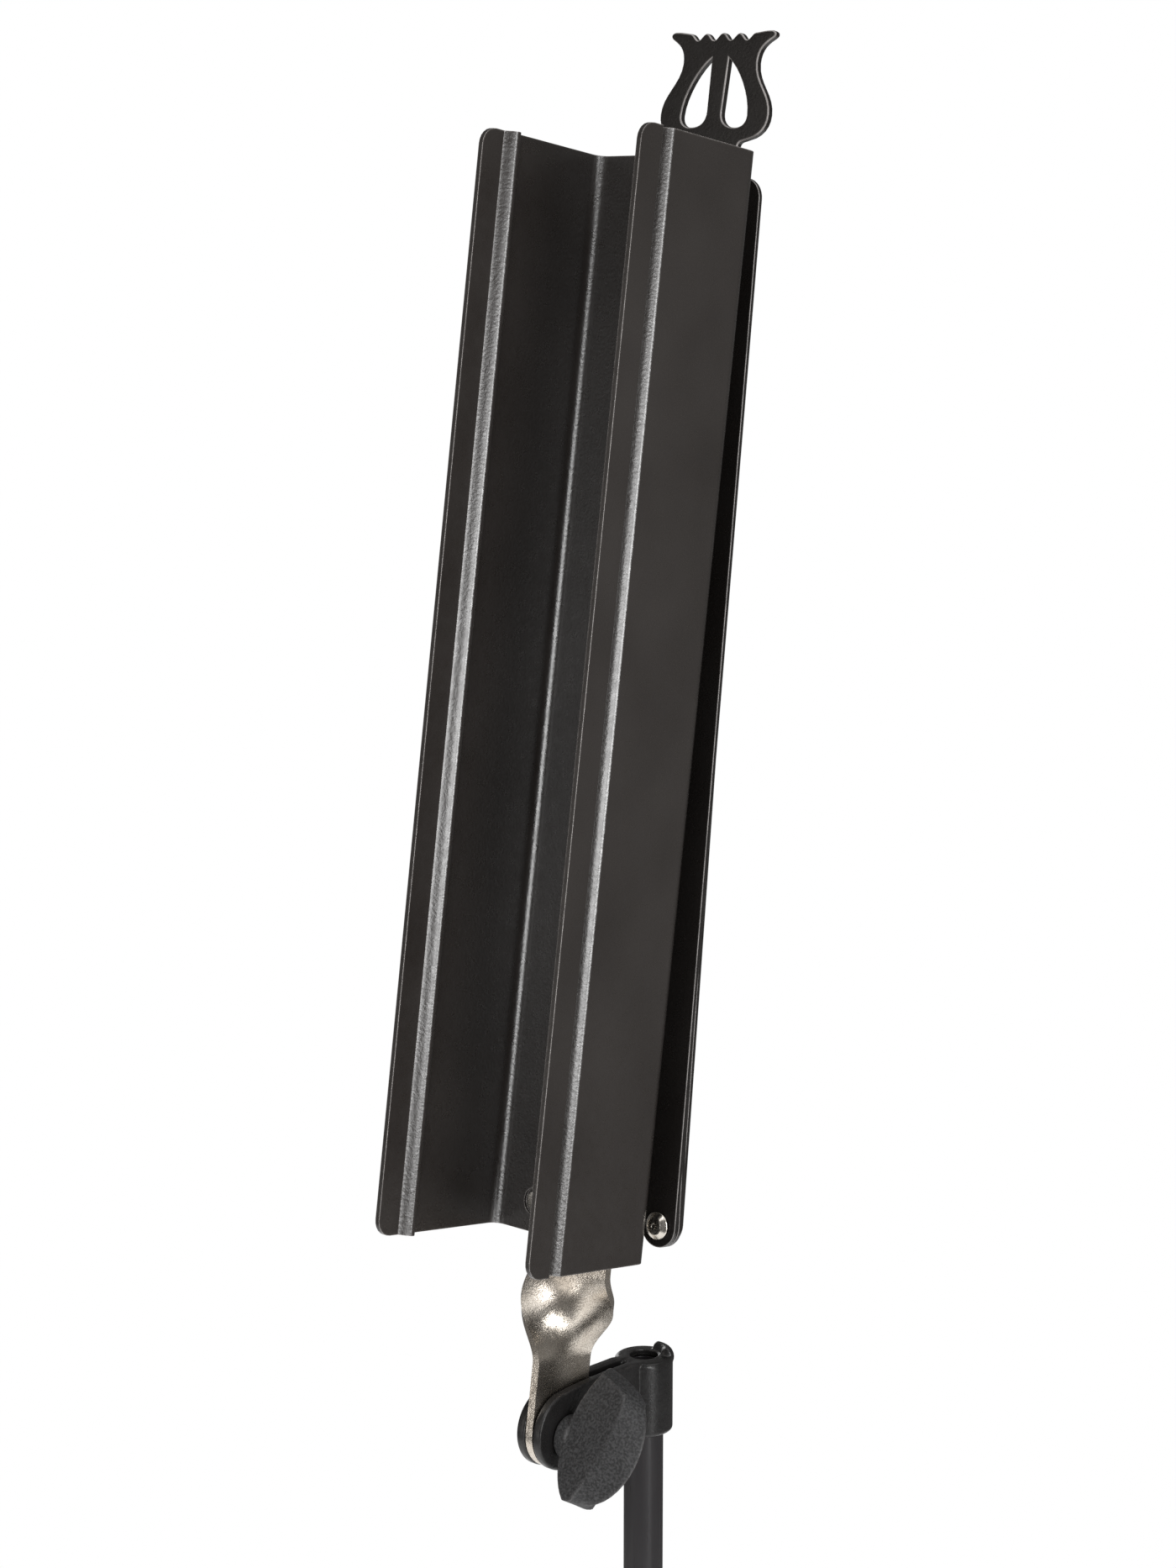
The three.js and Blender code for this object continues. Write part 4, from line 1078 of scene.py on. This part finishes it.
def crown():
    """The collar on the base tube with a pair of cheeks for each leg."""
    low, high = (corner.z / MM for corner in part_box("leg_crown"))
    radius = 14.5
    pivot = Vector(JOINTS["leg_fold_2"]["pos_m"])
    pivot_r = (pivot - Vector((AXIS.x, AXIS.y, pivot.z))).length / MM
    pivot_z = pivot.z / MM
    corners = [(0, low, 0), (radius - 2.5, low, 0.8), (radius, low + 4, 1), (radius, high, 1.2), (0, high, 0)]
    body = lathe("crown", filleted(corners, False), 84)
    middle = LEG_WIDTH / 2 + GAP + CHEEK_THICK / 2
    cheeks = []
    for azimuth in LEG_AZIMUTHS:
        for s in (-1, 1):
            shape = [(9, pivot_z - 9, 0), (pivot_r + 8, pivot_z - 9, 5), (pivot_r + 8, high, 6), (9, high, 0)]
            hole = circle(pivot_r, pivot_z, LEG_RIVET_R + GAP, 24)
            cheek = plate("cheek", filleted(shape), CHEEK_THICK, 0.5, [hole], 3)
            transformed(cheek, Matrix.Rotation(math.pi / 2, 4, "X"))
            moved(cheek, 0, s * middle, 0)
            cheeks.append(transformed(cheek, Matrix.Rotation(math.radians(azimuth), 4, "Z")))
    body = combine(body, "UNION", cheeks)
    bore = rod_tool(BASE_R + GAP, low - 2, high + 2, 72)
    body = cast(combine(body, "DIFFERENCE", [bore]), 0.42, 4)
    show(body, "leg_crown", CASTING, TUBE, crisp=False)


def leg_rivet(number, azimuth):
    """A rivet with a dome at each end, through a leg and its two cheeks."""
    end = LEG_WIDTH / 2 + GAP + CHEEK_THICK + GAP
    half = dome(-end, 3.6, 1.6, LEG_RIVET_R, 0)[:-1]
    profile = half + [(r, -z) for r, z in reversed(half[:-1])]
    pin = along_y(lathe("pin", profile, 40))
    show(pin, f"leg_rivet_{number}", BRIGHT, leg_matrix(azimuth))


def tube_plug():
    """Rubber plug that closes the base tube's lower end."""
    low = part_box("base_tube")[0].z / MM
    r = BASE_R - 1 - GAP
    corners = [(0, low - 3, 0), (BASE_R, low - 3, 0.9), (BASE_R, low - GAP, 0.2), (r, low - GAP, 0)]
    corners += [(r, low + 12, 0.8), (r - 2, low + 12, 0.2), (r - 2, low + 1, 0), (0, low + 1, 0)]
    show(lathe("plug", filleted(corners, False), 72), "base_tube_plug", RUBBER, TUBE)


def carried_over():
    """Small inner parts whose CAD shape is right: they only get their material."""
    looks = {
        "tilt_knob_insert": BRASS,
        "lower_clamp_pad": BRASS,
        "upper_clamp_pad": BRASS,
        "lower_clamp_screw": BRIGHT,
        "upper_clamp_screw": BRIGHT,
        "crown_screw": BRIGHT,
        "arm_spacer": BRIGHT,
        "upper_rod_guide": PLASTIC,
        "middle_tube_guide": PLASTIC,
    }
    for node, material in looks.items():
        data = frame["nodes"][node].data
        data.materials.clear()
        data.materials.append(material)


# ---- camera, floor and light ----

def camera():
    """At the picture's place: right of the desk, a little above it, looking slightly down."""
    data = bpy.data.cameras.new("camera")
    data.lens = CAMERA_LENS
    data.sensor_width = 36
    obj = bpy.data.objects.new("camera", data)
    obj.location = TILT + CAMERA_OFFSET
    obj.rotation_euler = (CAMERA_PITCH, 0, CAMERA_TURN)
    bpy.context.scene.collection.objects.link(obj)
    bpy.context.scene.camera = obj


def floor():
    """A plain pale round floor."""
    rim = circle(0, 0, FLOOR_R, 96)
    obj = mesh_object("floor", [(x, y, 0) for x, y in rim], [tuple(range(len(rim)))])
    finish = Finish("pale_floor", (0.9, 0.9, 0.9), 0.7, specular=0.1)
    finish.set("Base Color", finish.mixed(finish.noise(3), (0.9, 0.9, 0.9), (0.93, 0.93, 0.93)))
    finish.shader.inputs["Emission Color"].default_value = (1, 1, 1, 1)
    finish.shader.inputs["Emission Strength"].default_value = FLOOR_GLOW
    obj.data.materials.append(finish.material)


def softbox(name, azimuth, elevation, distance, width, height, glow, colour=(1, 1, 1), lit=None):
    """A panel of this glow that faces the desk, from this azimuth (0 in front, 90 on the right).

    It lights everything, or only the pieces of the collection lit.
    """
    data = bpy.data.lights.new(name, "AREA")
    data.shape = "RECTANGLE"
    data.size = width
    data.size_y = height
    data.energy = glow * math.pi * width * height
    data.color = colour
    obj = bpy.data.objects.new(name, data)
    a, e = math.radians(azimuth), math.radians(elevation)
    back = Vector((math.sin(a) * math.cos(e), -math.cos(a) * math.cos(e), math.sin(e)))
    target = TILT + Vector((0, 0, 0.1))
    obj.location = target + back * distance
    obj.rotation_euler = back.to_track_quat("Z", "Y").to_euler()
    obj.light_linking.receiver_collection = lit
    bpy.context.scene.collection.objects.link(obj)


def lights():
    """Studio panels. Two shine on the ledges alone, to draw the highlights on their beads and bends."""
    ledges = bpy.data.collections.new("ledges")
    for hand in ("left", "right"):
        ledges.objects.link(bpy.data.objects[f"ledge_{hand}_look"])
    softbox("bead_sheen", 71, 4, 1.5, 0.6, 0.5, 24, lit=ledges)
    softbox("bend_sheen", 36, 6, 1.5, 0.9, 0.5, 18, lit=ledges)
    softbox("key", 68, 16, 1.5, 0.42, 0.95, 9)
    softbox("low_key", 76, -13, 1.4, 0.3, 0.5, 5)
    softbox("front", -22, 6, 1.6, 0.8, 1.1, 1.0, (1, 0.95, 0.9))
    softbox("spot_left", -29, -13, 1.5, 0.13, 0.13, 7)
    softbox("spot_middle", -16, -12, 1.5, 0.13, 0.13, 8)
    softbox("high_front", -3, 47, 1.5, 0.5, 0.45, 4.5, (1, 0.97, 0.96))
    softbox("rim_right", 140, -2, 1.8, 0.6, 1.0, 0.15, (1, 0.97, 0.93))
    softbox("rim_left", -120, 10, 1.8, 0.6, 1.0, 3)
    softbox("top", 40, 80, 1.8, 2.2, 2.2, 1.1)


def world():
    """White backdrop for the camera and a dim grey room for everything else."""
    scene_world = bpy.data.worlds.new("studio")
    scene_world.use_nodes = True
    bpy.context.scene.world = scene_world
    tree = scene_world.node_tree
    tree.nodes.clear()
    room = tree.nodes.new("ShaderNodeBackground")
    room.inputs["Color"].default_value = (1, 0.98, 0.96, 1)
    room.inputs["Strength"].default_value = ROOM_GLOW
    backdrop = tree.nodes.new("ShaderNodeBackground")
    backdrop.inputs["Color"].default_value = (1, 1, 1, 1)
    path = tree.nodes.new("ShaderNodeLightPath")
    mix = tree.nodes.new("ShaderNodeMixShader")
    output = tree.nodes.new("ShaderNodeOutputWorld")
    tree.links.new(path.outputs["Is Camera Ray"], mix.inputs[0])
    tree.links.new(room.outputs[0], mix.inputs[1])
    tree.links.new(backdrop.outputs[0], mix.inputs[2])
    tree.links.new(mix.outputs[0], output.inputs["Surface"])
    bpy.context.scene.view_settings.view_transform = "Standard"


# ---- the scene ----

camera()
ledge(-1)
ledge(1)
tilt_bracket()
lyre_bar()
folding_bars()
rivets()
tilt_head()
tilt_screw()
tilt_knob()
tube("upper_rod", ROD_R, 1.25)
tube("middle_tube", MIDDLE_R, 1)
tube("base_tube", BASE_R, 1)
clamp("upper_clamp", ROD_R, MIDDLE_R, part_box("middle_tube")[1].z / MM)
clamp("lower_clamp", MIDDLE_R, BASE_R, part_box("base_tube")[1].z / MM)
clamp_knob("upper_clamp_knob")
clamp_knob("lower_clamp_knob")
crown()
tube_plug()
for index, leg_azimuth in enumerate(LEG_AZIMUTHS):
    leg(index + 1, leg_azimuth)
    foot(index + 1, leg_azimuth)
    leg_rivet(index + 1, leg_azimuth)
carried_over()
floor()
lights()
world()
